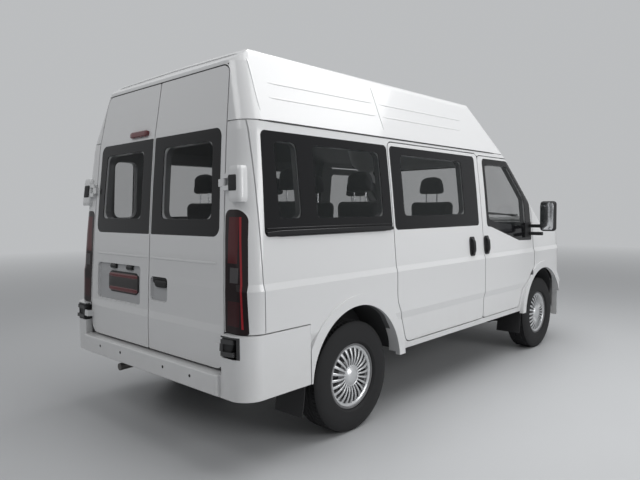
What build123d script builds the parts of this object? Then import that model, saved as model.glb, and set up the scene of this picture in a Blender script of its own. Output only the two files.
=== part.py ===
"""High-roof passenger van: barn doors behind, a sliding door on the right, seats for three rows.

Frame: millimetres, +Z up, the front faces -Y and +X is the van's left-hand side.
The origin is on the ground under the middle of the van's length.
"""
import os
from math import atan2, cos, hypot, radians, sin, tan

from build123d import *

# ---------------------------------------------------------------- overall size
WHEEL_BASE = 2933.0
FRONT_OVERHANG = 930.0
REAR_OVERHANG = 950.0
HALF_WIDTH = 985.0          # at the pressed crease under the belt
ROOF_TOP = 2345.0           # crown of the roof on the centre line
LENGTH = FRONT_OVERHANG + WHEEL_BASE + REAR_OVERHANG
REAR_AXLE_Y = LENGTH / 2 - REAR_OVERHANG
FRONT_AXLE_Y = REAR_AXLE_Y - WHEEL_BASE

# ---------------------------------------------------------------- fits and walls
SEAT = 0.3                  # clearance between two pieces of one body that rest on each other
SEAM = 6.0                  # shut line between two painted panels
DOOR_GAP = 8.0              # shut line round a door that swings
SEAM_DEPTH = 15.0           # depth of a shut line between two fixed panels
SKIN = 8.0                  # outer sheet of a door, before its frame steps in
FRAME_STEP = 15.0           # how far a door's frame stands back from the edge of its skin
WALL = 55.0                 # whole thickness of a side wall or door
WING_WALL = 28.0            # wings and bonnet
ROOF_WALL = 40.0
GLASS = 5.0
REACH = 3000.0              # longer than any cut needs to be
CUT = 200.0                 # depth of a cut through one wall

# ---------------------------------------------------------------- body heights
SILL_BOTTOM = 435.0
SILL_TOP = 478.0
BELT = 1265.0               # lower edge of the side windows
WINDOW_TOP = 1842.0
LAMP_DEPTH = 48.0
GUTTER = 1893.0             # joint between the side panels and the roof cap
ROOF_EDGE = 2322.0          # where the roof's slanted side turns into its top
ROOF_EDGE_HALF = 718.0
ROOF_EDGE_RADIUS = 75.0
ABOVE_ROOF = 2420.0
ROOF_END = 2364.0           # corner of the side profile that rounds the roof's rear end
ROOF_END_Y = 560.0
ROOF_END_RADIUS = 170.0
REAR_DOOR_BOTTOM = 545.0
REAR_DOOR_TOP = 2215.0
HEAD_LEVEL = REAR_DOOR_TOP + 20.0
CORNER_TOP = 757.0          # top of the bumper's upswept corners, foot of the tail lamps
LAMP_TOP = 1415.0
LAMP_OUTER_LOW = 948.0      # outer edge of a tail lamp, seen from behind
LAMP_OUTER_HIGH = 909.0

# height, how far the side stands in from HALF_WIDTH, rear face behind the rear axle
SECTIONS = (
    (SILL_BOTTOM, 30.0, 884.0),
    (500.0, 20.0, 888.0),
    (655.0, 14.0, 890.0),
    (705.0, 0.0, 890.0),
    (985.0, 0.0, 878.0),
    (1022.0, 12.0, 875.0),
    (BELT, 30.0, 862.0),
    (1560.0, 57.0, 839.0),
    (WINDOW_TOP, 88.0, 813.0),
    (GUTTER, 97.0, 806.0),
    (HEAD_LEVEL, 226.0, 747.0),
    (ABOVE_ROOF, 300.0, 690.0),
)
CORNER_RADIUS = 112.0       # vertical corners at the rear
NOSE_Y = -LENGTH / 2 + 34.0
NOSE_RADIUS = 300.0
NOSE_HALF = 700.0
NOSE_TAPER_Y = FRONT_AXLE_Y - 390.0
NOSE_TAPER_RADIUS = 260.0

# ---------------------------------------------------------------- bonnet, windscreen and roof front
COWL_Y = FRONT_AXLE_Y - 270.0
SCREEN_TOP_Y = COWL_Y + 698.0
SCREEN_TOP = 1885.0
ROOF_FRONT_Y = REAR_AXLE_Y - 2090.0
BONNET_EDGE = 960.0         # height of the bonnet's front edge
BONNET_KNEE_Y = NOSE_Y + 150.0
BONNET_KNEE = 1085.0
PILLAR_TAPER_Y = COWL_Y + 235.0
COWL_HALF = 640.0
PILLAR_RADIUS = 240.0

# ---------------------------------------------------------------- wheels
TYRE_RADIUS = 352.0
TYRE_WIDTH = 205.0
RIM_RADIUS = 208.0
RIM_WIDTH = 165.0
WHEEL_TRACK_HALF = 842.0    # centre line to the middle of a tyre
STUB_RADIUS = 30.0
RUNNING_FIT = 0.05
ARCH_RADIUS = 430.0
ARCH_RISE = 30.0            # arch centre above the axle
ARCH_Z = TYRE_RADIUS + ARCH_RISE
ARCH_LIP = 66.0             # raised band round the arch opening
ARCH_LIP_PROUD = 7.0
KINGPIN_X = 700.0
DRUM_RADIUS = 138.0

# ---------------------------------------------------------------- side doors and windows
DOOR_REAR_Y = REAR_AXLE_Y - 1690.0
DOOR_FRONT_Y = REAR_AXLE_Y - 2697.0
DOOR_TOP = 1852.0
POST_HALF = 60.0            # the post behind the front door, ahead of the shut line
POST_REAR = 80.0            # and behind it
POST_DEPTH = 49.0           # how far it stands in from the side wall
SLIDING_REAR_Y = REAR_AXLE_Y - 418.0
QUARTER_REAR_Y = REAR_AXLE_Y + 775.0
LAMP_FRONT_Y = REAR_AXLE_Y + 792.0
DOOR_BOTTOM = SILL_TOP + SEAM
HINGE_IN = 28.0             # front door's hinge axis inside its skin
HINGE_BACK = 62.0           # and behind the door's front edge
HINGE_RADIUS = 8.0
HINGE_HALF = 20.0           # half the height of a door's hinge barrel
HINGE_LUG = 24.0            # height of each fixed lug above and below it
FRONT_HINGE_HEIGHTS = (915.0, 1045.0)
HINGE_EDGE_GAP = 4.0        # extra shut line ahead of a front door, where its edge swings

# ---------------------------------------------------------------- rear doors
REAR_EDGE_LOW = 770.0       # half width of the pair of doors at the foot of the lamps
REAR_EDGE_MIDDLE = 723.0    # at the kink under the roof cap
REAR_EDGE_KINK = 1880.0
REAR_EDGE_HIGH = 684.0      # and at their top
REAR_PANE_EDGE = 38.0       # from a rear door's edge to its pane
REAR_AXIS_LOW = 804.0       # the leaning hinge axis from the middle, at the foot of the lamps
REAR_AXIS_HIGH = 710.0      # and at the doors' top
REAR_HINGE_PROUD = 54.0     # hinge axis behind the straight line from the door's foot to its top
REAR_HINGE_HEIGHTS = (690.0, 1560.0)
REAR_HINGE_RADIUS = 9.0

# ---------------------------------------------------------------- floor and running gear
REAR_BEAM_FRONT = REAR_AXLE_Y + 786.0
REAR_POST_X = 796.0         # inner face of the posts at the rear corners
REAR_POST_Y = REAR_AXLE_Y + 742.0
BUMPER_FACE = REAR_AXLE_Y + REAR_OVERHANG - 24.0
STEP_DEPTH = 80.0           # rear step, from the bumper's face forwards
REAR_BEAM_BACK = BUMPER_FACE - STEP_DEPTH - SEAT
FLOOR_TOP = 600.0
FLOOR_THICK = 40.0
RAIL_INNER = 395.0
RAIL_OUTER = 465.0
RAIL_BOTTOM = 455.0
FIREWALL_Y = FRONT_AXLE_Y + 96.0
FIREWALL_THICK = 20.0
HOUSE_GAP = 12.0            # wheelhouse outside the arch opening
HOUSE_SHEET = 8.0
FRONT_HOUSE_INNER = 512.0
REAR_HOUSE_INNER = 690.0
AXLE_TUBE = 40.0
TOW_HOLE_RADIUS = 6.5       # four bolt holes up into the rails under the tail
TOW_HOLES = (640.0, 740.0)  # behind the rear axle
BUMPER_SHEET = 45.0
BUMPER_BOTTOM = 415.0
FRONT_BUMPER_TOP = 640.0
FRONT_BUMPER_BOTTOM = 272.0


# ================================================================ outline helpers
def moved(points, inset):
    """Move every side of a counter-clockwise outline inwards by inset."""
    count = len(points)
    lines = []
    for i in range(count):
        (x0, y0), (x1, y1) = points[i], points[(i + 1) % count]
        size = hypot(x1 - x0, y1 - y0)
        nx, ny = -(y1 - y0) / size, (x1 - x0) / size
        lines.append((x0 + nx * inset, y0 + ny * inset, x1 - x0, y1 - y0))
    result = []
    for i in range(count):
        px, py, dx, dy = lines[i - 1]
        qx, qy, ex, ey = lines[i]
        cross = dx * ey - dy * ex
        t = ((qx - px) * ey - (qy - py) * ex) / cross
        result.append((px + dx * t, py + dy * t))
    return result


def rounded(points, radii, inset=0.0):
    """Closed face through points with each corner rounded, moved inwards by inset."""
    if not isinstance(radii, (list, tuple)):
        radii = [radii] * len(points)
    outline = moved(points, inset) if inset else list(points)
    count = len(outline)
    ins, outs, mids = [], [], []
    for i in range(count):
        ax, ay = outline[i - 1]
        bx, by = outline[i]
        cx, cy = outline[(i + 1) % count]
        la, lc = hypot(ax - bx, ay - by), hypot(cx - bx, cy - by)
        ux, uy = (ax - bx) / la, (ay - by) / la
        vx, vy = (cx - bx) / lc, (cy - by) / lc
        half = atan2(abs(ux * vy - uy * vx), ux * vx + uy * vy) / 2
        turn_left = (bx - ax) * (cy - by) - (by - ay) * (cx - bx) > 0
        radius = radii[i] - inset if turn_left else radii[i] + inset
        if radii[i] == 0:
            radius = 0
        elif radius < 4.0:
            radius = 4.0
        back = min(radius / tan(half), 0.47 * la, 0.47 * lc)
        radius = back * tan(half)
        ins.append((bx + ux * back, by + uy * back))
        outs.append((bx + vx * back, by + vy * back))
        if radius > 0:
            wx, wy = ux + vx, uy + vy
            size = hypot(wx, wy)
            away = radius / sin(half) - radius
            mids.append((bx + wx / size * away, by + wy / size * away))
        else:
            mids.append(None)
    edges = []
    for i in range(count):
        if mids[i]:
            edges.append(Edge.make_three_point_arc(ins[i], mids[i], outs[i]))
        edges.append(Edge.make_line(outs[i], ins[(i + 1) % count]))
    return Face(Wire(edges))


def along_x(face, x0, x1):
    """Prism of a (y, z) face from x0 to x1."""
    return extrude(Plane(origin=(x0, 0, 0), x_dir=(0, 1, 0), z_dir=(1, 0, 0)) * face, amount=x1 - x0)


def along_y(face, y0, y1):
    """Prism of an (x, z) face from y0 to y1."""
    return extrude(Plane(origin=(0, y1, 0), x_dir=(1, 0, 0), z_dir=(0, -1, 0)) * face, amount=y1 - y0)


def along_z(face, z0, z1):
    """Prism of an (x, y) face from z0 to z1."""
    return extrude(Plane(origin=(0, 0, z0)) * face, amount=z1 - z0)


def box(x0, x1, y0, y1, z0, z1):
    """Box between two corners."""
    return Pos((x0 + x1) / 2, (y0 + y1) / 2, (z0 + z1) / 2) * Box(x1 - x0, y1 - y0, z1 - z0)


def rounded_box(x0, x1, y0, y1, z0, z1, radius):
    """Box with its vertical and horizontal edges rounded."""
    solid = box(x0, x1, y0, y1, z0, z1)
    return fillet(solid.edges(), radius)


def rod_x(radius, x0, x1, y, z):
    """Cylinder along X."""
    return Pos((x0 + x1) / 2, y, z) * Rot(0, 90, 0) * Cylinder(radius, x1 - x0)


def rod_between(start, end, radius):
    """Cylinder from start to end."""
    direction = Vector(*end) - Vector(*start)
    return extrude(Plane(origin=start, z_dir=direction) * Circle(radius), amount=direction.length)


def rectangle(u0, u1, v0, v1):
    """Corners of a rectangle, counter-clockwise."""
    return [(u0, v0), (u1, v0), (u1, v1), (u0, v1)]


def mirrored(shape):
    """The same piece on the other side of the van."""
    return mirror(shape, about=Plane.YZ)


def behind(distance):
    """Y of a place this far behind the rear axle."""
    return REAR_AXLE_Y + distance


# ================================================================ the body's outer form
def plan_low(inset_side, rear):
    """Plan outline below the belt: tapered nose and rounded rear corners."""
    half = HALF_WIDTH - inset_side
    return [(-half, behind(rear)), (-half, NOSE_TAPER_Y), (-NOSE_HALF, NOSE_Y),
            (NOSE_HALF, NOSE_Y), (half, NOSE_TAPER_Y), (half, behind(rear))]


def plan_high(z, inset_side, rear):
    """Plan outline above the belt: the front follows the windscreen and the roof's front slope."""
    half = HALF_WIDTH - inset_side
    if z <= SCREEN_TOP:
        front = COWL_Y + (SCREEN_TOP_Y - COWL_Y) * (z - BELT) / (SCREEN_TOP - BELT)
    else:
        front = SCREEN_TOP_Y + (ROOF_FRONT_Y - SCREEN_TOP_Y) * (z - SCREEN_TOP) / (ROOF_EDGE - SCREEN_TOP)
    taper = front + PILLAR_TAPER_Y - COWL_Y
    return [(-half, behind(rear)), (-half, taper), (-COWL_HALF * half / HALF_WIDTH, front),
            (COWL_HALF * half / HALF_WIDTH, front), (half, taper), (half, behind(rear))]


def section(points, z, inset, radii):
    """One plan section of the body at height z."""
    return Pos(0, 0, z) * rounded(points, radii, inset)


def body(inset):
    """Solid of the whole body shell, moved inwards by inset on every side but the bottom."""
    low_radii = [CORNER_RADIUS, NOSE_TAPER_RADIUS, NOSE_RADIUS, NOSE_RADIUS, NOSE_TAPER_RADIUS, CORNER_RADIUS]
    high_radii = [CORNER_RADIUS, PILLAR_RADIUS, PILLAR_RADIUS, PILLAR_RADIUS, PILLAR_RADIUS, CORNER_RADIUS]
    low = [section(plan_low(side, rear), z, inset, low_radii) for z, side, rear in SECTIONS if z <= BELT]
    high = [section(plan_high(z, side, rear), z, inset, high_radii) for z, side, rear in SECTIONS if z >= BELT]
    lower = loft(low, ruled=True) & along_x(bonnet_profile(inset), -REACH, REACH)
    upper = loft(high, ruled=True) & along_y(roof_profile(inset), -REACH, REACH)
    upper &= along_x(roof_end_profile(inset), -REACH, REACH)
    return lower + upper


def bonnet_profile(inset):
    """Side profile that cuts the bonnet's slope out of the lower body."""
    outline = [(-REACH, 0), (REACH, 0), (REACH, BELT + inset), (COWL_Y + 30, BELT + inset),
               (BONNET_KNEE_Y, BONNET_KNEE), (NOSE_Y - 10, BONNET_EDGE), (-REACH, BONNET_EDGE - 200)]
    return rounded(outline, [0, 0, 0, 0, 260, 90, 0], inset)


def roof_profile(inset):
    """Cross-section of the roof: slanted sides, rounded shoulders and a slight crown."""
    slope = (ROOF_EDGE - GUTTER) / (HALF_WIDTH - SECTIONS[9][1] - ROOF_EDGE_HALF)
    foot = ROOF_EDGE_HALF + (ROOF_EDGE - 1100.0) / slope
    crown = ROOF_TOP - 6.0
    outline = [(-foot, 1100.0), (foot, 1100.0), (ROOF_EDGE_HALF, ROOF_EDGE), (ROOF_EDGE_HALF * 0.45, crown),
               (0, ROOF_TOP), (-ROOF_EDGE_HALF * 0.45, crown), (-ROOF_EDGE_HALF, ROOF_EDGE)]
    radii = [0, 0, ROOF_EDGE_RADIUS, 1500, 4000, 1500, ROOF_EDGE_RADIUS]
    return rounded(outline, radii, inset)


def roof_end_profile(inset):
    """Side profile that rounds the roof's rear end down to the rear doors."""
    outline = [(-REACH, 1100.0), (behind(1600), 1100.0), (behind(1600), 1690.0), (behind(ROOF_END_Y), ROOF_END),
               (-REACH, ROOF_END + 280.0)]
    return rounded(outline, [0, 0, 0, ROOF_END_RADIUS, 0], inset)


# ================================================================ outlines of panels and openings
def front_door_outline():
    """Front door in (y, z): it follows the arch below and the windscreen pillar above."""
    pillar_top_y = DOOR_REAR_Y - 578.0
    pillar_foot = 1466.0
    outline = [(behind(-2395), DOOR_BOTTOM), (DOOR_REAR_Y, DOOR_BOTTOM), (DOOR_REAR_Y, DOOR_TOP),
               (pillar_top_y, DOOR_TOP), (DOOR_FRONT_Y, pillar_foot), (DOOR_FRONT_Y, 845.0),
               (behind(-2452), 640.0)]
    return outline, [30, 30, 45, 60, 40, 60, 160]


def front_pane_outline():
    """Black-bordered pane of the front door in (y, z); its lower edge dips towards the front."""
    outline = [(behind(-2672), 1100.0), (behind(-2390), 1108.0), (behind(-1840), 1250.0),
               (behind(-1768), 1256.0), (behind(-1768), DOOR_TOP - 18.0), (behind(-2266), DOOR_TOP - 18.0),
               (behind(-2672), 1464.0)]
    return outline, [24, 120, 60, 30, 40, 60, 30]


def front_clear_outline():
    """Open window of the front door in (y, z)."""
    outline = [(behind(-2560), 1150.0), (behind(-2390), 1158.0), (behind(-1880), 1290.0),
               (behind(-1812), 1296.0), (behind(-1812), DOOR_TOP - 66.0), (behind(-2245), DOOR_TOP - 66.0),
               (behind(-2560), 1490.0)]
    return outline, [24, 120, 60, 40, 40, 50, 30]


def sliding_outline():
    """Sliding door in (y, z); its lower rear corner follows the wheel arch."""
    front = DOOR_REAR_Y + DOOR_GAP
    outline = [(front, DOOR_BOTTOM), (behind(-545), DOOR_BOTTOM), (behind(-492), 640.0),
               (SLIDING_REAR_Y, 790.0), (SLIDING_REAR_Y, DOOR_TOP + 12), (front, DOOR_TOP + 12)]
    return outline, [30, 60, 200, 200, 45, 45]


def window_outline(y0, y1, lean, z0, z1, radius):
    """Rounded window in (y, z); lean is how far its rear edge slopes forwards each way from its middle."""
    return [(y0, z0), (y1 + lean, z0), (y1 - lean, z1), (y0, z1)], radius


SIDE_PANES = (
    (behind(-402), behind(735), 14.0),
    (behind(-1628), behind(-434), 0.0),
)
SIDE_CLEAR = (
    (behind(455), behind(638), 0.0),
    (behind(-318), behind(337), 0.0),
    (behind(-1410), behind(-550), 0.0),
)
PANE_BOTTOM = BELT + 2.0
CLEAR_BOTTOM = 1362.0
CLEAR_TOP = 1786.0
PANE_TOP = WINDOW_TOP - 2.0


def rear_edge(z):
    """Half width of the pair of rear doors at height z, up to the kink under the roof cap."""
    return REAR_EDGE_LOW + (REAR_EDGE_MIDDLE - REAR_EDGE_LOW) * (z - CORNER_TOP) / (REAR_EDGE_KINK - CORNER_TOP)


def rear_door_outline():
    """Left rear door in (x, z)."""
    low = REAR_DOOR_BOTTOM + SEAM
    outline = [(DOOR_GAP / 2, low), (REAR_EDGE_LOW, low), (REAR_EDGE_LOW, CORNER_TOP),
               (REAR_EDGE_MIDDLE, REAR_EDGE_KINK), (REAR_EDGE_HIGH, REAR_DOOR_TOP), (DOOR_GAP / 2, REAR_DOOR_TOP)]
    return outline, [10, 75, 400, 400, 60, 10]


def rear_opening_outline():
    """Both rear doors with their shut line, in (x, z)."""
    low = REAR_DOOR_BOTTOM + SEAM
    right = [(REAR_EDGE_LOW, low), (REAR_EDGE_LOW, CORNER_TOP), (REAR_EDGE_MIDDLE, REAR_EDGE_KINK),
             (REAR_EDGE_HIGH, REAR_DOOR_TOP)]
    outline = right + [(-x, z) for x, z in reversed(right)]
    return rounded(outline, [75, 400, 400, 60, 60, 400, 400, 75], -DOOR_GAP)


def rear_pane_outline():
    """Black-bordered pane of the left rear door in (x, z)."""
    low, high = PANE_BOTTOM, WINDOW_TOP + 24
    outline = [(12.0, low), (rear_edge(low) - REAR_PANE_EDGE, low), (rear_edge(high) - REAR_PANE_EDGE, high),
               (12.0, high)]
    return outline, [10, 55, 55, 10]


def rear_clear_outline():
    """Window of the left rear door in (x, z)."""
    outline = [(122.0, CLEAR_BOTTOM), (632.0, CLEAR_BOTTOM), (610.0, 1796.0), (118.0, 1796.0)]
    return outline, 60


def screen_outline(inset):
    """Windscreen in (x, z), seen from the front."""
    low, high = BELT + 22, SCREEN_TOP - 14
    outline = [(-862, low), (862, low), (800, high), (-800, high)]
    return rounded(outline, [60, 60, 70, 70], inset)


def arch_shape(y, radius):
    """Wheel arch opening in (y, z): a half circle with straight sides down."""
    disc = Pos(y, ARCH_Z, 0) * Circle(radius)
    legs = Pos(y, ARCH_Z / 2 - 50, 0) * Rectangle(2 * radius, ARCH_Z + 100)
    return disc + legs


# ================================================================ the shell, cut where its panels meet
OUTER = body(0)
UNDER_GLASS = body(GLASS + SEAT)
GLASS_BACK = body(GLASS)
UNDER_SKIN = body(SKIN)
GROOVE_FLOOR = body(SEAM_DEPTH)
UNDER_WING = body(WING_WALL)
UNDER_ROOF = body(ROOF_WALL)
INNER = body(WALL)
LAMP_BACK = body(LAMP_DEPTH)
LAMP_SEAT = body(LAMP_DEPTH + SEAT)
POST_FRONT = body(WALL + 6)
POST_BACK = body(WALL + POST_DEPTH)
FLOOR_EDGE = body(WALL + 8)
SILL_SEAT = body(WALL + SEAT)
POST_SEAT = body(WALL + POST_DEPTH + SEAT)


def layer(region, outer, inner):
    """The part of a layer of the body, between two of its forms, that lies in a region."""
    return (region & outer) - inner


def side_prism(outline, radii, inset=0.0, left=False):
    """Cut through one side wall along X."""
    face = rounded(outline, radii, inset)
    return along_x(face, CUT * 2, REACH) if left else along_x(face, -REACH, -CUT * 2)


def stepped(prism_outer, prism_inner):
    """Door with its frame set back behind the edge of its skin."""
    return layer(prism_outer, OUTER, UNDER_SKIN) + layer(prism_inner, UNDER_SKIN, INNER)


def one(shape):
    """The largest solid of a shape."""
    return max(shape.solids(), key=lambda item: item.volume)


def arch_band(y):
    """Raised band round a wheel arch on the left side."""
    ring = arch_shape(y, ARCH_RADIUS + ARCH_LIP) - arch_shape(y, ARCH_RADIUS)
    band = along_x(ring, HALF_WIDTH - WING_WALL, HALF_WIDTH + ARCH_LIP_PROUD)
    return band & box(0, REACH, -REACH, REACH, BUMPER_BOTTOM, ROOF_TOP)


def wall_region(left, y0, y1, z0, z1):
    """Box on one side of the van."""
    return box(CUT * 2, REACH, y0, y1, z0, z1) if left else box(-REACH, -CUT * 2, y0, y1, z0, z1)


def side_panel(left):
    """One side behind the front door: quarter panel, sill, top rail and the post behind the front door."""
    top = GUTTER - SEAM / 2
    wall_front = DOOR_REAR_Y + DOOR_GAP
    region = wall_region(left, wall_front, QUARTER_REAR_Y, SILL_TOP, top)
    region += wall_region(left, behind(-2395), QUARTER_REAR_Y, SILL_BOTTOM, SILL_TOP)
    panel = layer(region, OUTER, INNER)
    if not left:
        outline, radii = sliding_outline()
        panel -= side_prism(outline, radii, -DOOR_GAP)
    post_front, post_rear = DOOR_REAR_Y - POST_HALF, DOOR_REAR_Y + POST_REAR
    panel += layer(wall_region(left, post_front, post_rear, SILL_BOTTOM, top), POST_FRONT, POST_BACK)
    panel += layer(wall_region(left, post_front, post_rear, SILL_BOTTOM, SILL_TOP), OUTER, POST_BACK)
    head = wall_region(left, wall_front, DOOR_REAR_Y + POST_REAR, DOOR_TOP + 12 + DOOR_GAP, top)
    panel += layer(head, OUTER, POST_BACK)
    band = arch_band(REAR_AXLE_Y)
    panel += band if left else mirrored(band)
    arch = along_x(arch_shape(REAR_AXLE_Y, ARCH_RADIUS), CUT * 2, REACH)
    panel -= arch if left else mirrored(arch)
    panel -= wall_region(left, behind(ARCH_RADIUS + 10), REACH, 0, CORNER_TOP + SEAM)
    panel -= along_y(rear_opening_outline(), 0, REACH)
    for place in SIDE_PANES if left else SIDE_PANES[:1]:
        pane = side_prism(*window_outline(*place, PANE_BOTTOM, PANE_TOP, 34), -SEAT, left)
        panel -= pane - UNDER_GLASS
    for place in SIDE_CLEAR if left else SIDE_CLEAR[:2]:
        panel -= side_prism(*window_outline(*place, CLEAR_BOTTOM, CLEAR_TOP, 50), 0, left)
    return one(panel)


def sliding_door():
    """Sliding door of the right side, shut, with its feet on the sill's track."""
    outline, radii = sliding_outline()
    door = stepped(side_prism(outline, radii), side_prism(outline, radii, FRAME_STEP))
    door -= side_prism(*window_outline(*SIDE_PANES[1], PANE_BOTTOM, PANE_TOP, 34), -SEAT) - UNDER_GLASS
    door -= side_prism(*window_outline(*SIDE_CLEAR[2], CLEAR_BOTTOM, CLEAR_TOP, 50))
    for y in (DOOR_REAR_Y + 190, behind(-700)):
        door += layer(wall_region(False, y - 40, y + 40, SILL_TOP + SEAT, DOOR_BOTTOM + 40), UNDER_SKIN, INNER)
    return one(door)


def side_glass():
    """Bonded side panes: two on the left, one on the right and one in the sliding door."""
    panes = []
    for place in SIDE_PANES:
        for left in (True, False):
            prism = side_prism(*window_outline(*place, PANE_BOTTOM, PANE_TOP, 34), 0, left)
            panes.append(one(layer(prism, OUTER, GLASS_BACK)))
    return Compound(children=panes)


FRONT_HINGE = (HALF_WIDTH - HINGE_IN, DOOR_FRONT_Y + HINGE_BACK)


def front_door():
    """Left front door with its hinge barrels."""
    outline, radii = front_door_outline()
    door = stepped(side_prism(outline, radii, 0, True), side_prism(outline, radii, FRAME_STEP, True))
    door -= side_prism(*front_pane_outline(), -SEAT, True) - UNDER_GLASS
    door -= side_prism(*front_clear_outline(), 0, True)
    axis_x, axis_y = FRONT_HINGE
    pocket = HINGE_HALF + HINGE_LUG + 6
    for z in FRONT_HINGE_HEIGHTS:
        door -= box(axis_x - 70, axis_x + HINGE_RADIUS + 2, axis_y - HINGE_BACK, axis_y + 14, z - pocket, z + pocket)
        door += Pos(axis_x, axis_y, z) * Cylinder(HINGE_RADIUS, 2 * HINGE_HALF)
        door += box(axis_x - 6, axis_x + 6, axis_y, axis_y + 24, z - HINGE_HALF, z + HINGE_HALF)
    return one(door)


def front_pane():
    """Pane of the left front door."""
    return one(layer(side_prism(*front_pane_outline(), 0, True), OUTER, GLASS_BACK))


def rear_face(z):
    """Y of the rear doors' outer face at height z."""
    for (z0, _, r0), (z1, _, r1) in zip(SECTIONS, SECTIONS[1:]):
        if z0 <= z <= z1:
            return behind(r0 + (r1 - r0) * (z - z0) / (z1 - z0))
    return behind(SECTIONS[-1][2])


def rear_axis_point(z):
    """A point on the left rear door's leaning hinge axis."""
    foot, top = SECTIONS[1], SECTIONS[-2]
    lean = (top[2] - foot[2]) / (top[0] - foot[0])
    share = (z - CORNER_TOP) / (REAR_DOOR_TOP - CORNER_TOP)
    return (REAR_AXIS_LOW + (REAR_AXIS_HIGH - REAR_AXIS_LOW) * share,
            behind(foot[2] + lean * (z - foot[0]) + REAR_HINGE_PROUD), z)


def rear_axis_plane(z):
    """Plane square to the rear hinge axis at height z, its X along the van's width."""
    low, high = Vector(*rear_axis_point(600.0)), Vector(*rear_axis_point(1900.0))
    return Plane(origin=rear_axis_point(z), x_dir=(1, 0, 0), z_dir=high - low)


def rear_door(left):
    """One rear door; the left one carries the plate's recess and the right one the handle's."""
    outline, radii = rear_door_outline()
    door = stepped(along_y(rounded(outline, radii), 0, REACH), along_y(rounded(outline, radii, FRAME_STEP), 0, REACH))
    door -= along_y(rounded(*rear_pane_outline(), -SEAT), 0, REACH) - UNDER_GLASS
    door -= along_y(rounded(*rear_clear_outline()), 0, REACH)
    sunk = rectangle(104, 682, 806, 1058) if left else rectangle(22, 212, 856, 1006)
    door -= along_y(rounded(sunk, 26), 0, REACH) - GROOVE_FLOOR
    for z in REAR_HINGE_HEIGHTS:
        plane = rear_axis_plane(z)
        proud = rear_axis_point(z)[1] - rear_face(z)
        door += plane * Cylinder(REAR_HINGE_RADIUS, 2 * HINGE_HALF)
        arm = rear_axis_point(z)[0] - rear_edge(max(z, CORNER_TOP))
        door += plane * Pos(-arm / 2 - 12, 0, 0) * Box(arm + 24, 12, 2 * HINGE_HALF)
        door += plane * Pos(-arm - 13, -proud / 2 - 6, 0) * Box(22, proud + 14, 2 * HINGE_HALF)
    door = one(door)
    return door if left else mirrored(door)


def rear_pane():
    """Pane of the left rear door."""
    return one(layer(along_y(rounded(*rear_pane_outline()), 0, REACH), OUTER, GLASS_BACK))


def lamp_outline():
    """Left tail lamp in (x, z), seen from behind."""
    low = CORNER_TOP + SEAM
    outline = [(rear_edge(low) + 14, low), (LAMP_OUTER_LOW, low), (LAMP_OUTER_HIGH, LAMP_TOP),
               (rear_edge(LAMP_TOP) + 14, LAMP_TOP)]
    return outline, [10, 10, 70, 40]


def tail_lamps():
    """Tall lamps let into the rear corners."""
    lamp = one(layer(along_y(rounded(*lamp_outline()), LAMP_FRONT_Y, REACH), OUTER, LAMP_BACK))
    return Compound(children=[lamp, mirrored(lamp)])


def rear_frame():
    """Rear corners, the posts inside them, the beam under the doors and the fixed hinge lugs."""
    foot, top = CORNER_TOP + SEAM, GUTTER - SEAM / 2
    side = layer(box(CUT, REACH, QUARTER_REAR_Y + SEAT, REACH, foot, top), OUTER, INNER)
    side -= box(CUT, REACH, QUARTER_REAR_Y, QUARTER_REAR_Y + SEAM, 0, REACH) - GROOVE_FLOOR
    side += box(REAR_POST_X, REACH, REAR_POST_Y, REACH, foot, top) & SILL_SEAT
    side += box(REAR_POST_X, REACH, QUARTER_REAR_Y + SEAT, REACH, foot, top) & UNDER_WING
    side += box(REAR_POST_X, REAR_POST_X + 84, REAR_POST_Y, REAR_POST_Y + 73, RAIL_BOTTOM, foot + 30)
    side -= along_y(rear_opening_outline(), 0, REACH)
    side -= along_y(rounded(*lamp_outline(), -SEAT), LAMP_FRONT_Y - SEAT, REACH) - LAMP_SEAT
    for z in REAR_HINGE_HEIGHTS:
        plane = rear_axis_plane(z)
        for way in (1, -1):
            lug = plane * Pos(42, -62, way * (HINGE_HALF + SEAT + HINGE_LUG / 2)) * Box(100, 140, HINGE_LUG)
            side += lug & box(0, REACH, QUARTER_REAR_Y + SEAT, REACH, 0, REACH)
    whole = side + mirrored(side)
    whole += box(-850, 850, REAR_BEAM_FRONT, REAR_BEAM_BACK, RAIL_BOTTOM, REAR_DOOR_BOTTOM - SEAM)
    return one(whole)


def roof_cap():
    """High roof: one moulding from the windscreen's head to the rear door's head."""
    cap = layer(box(-REACH, REACH, -REACH, REACH, GUTTER - SEAM / 2 + SEAT, REACH), OUTER, UNDER_ROOF)
    cap -= along_y(rear_opening_outline(), 0, REACH)
    cap -= box(-REACH, REACH, -REACH, REACH, GUTTER - SEAM, GUTTER + SEAM / 2) - GROOVE_FLOOR
    return one(cap)


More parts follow.
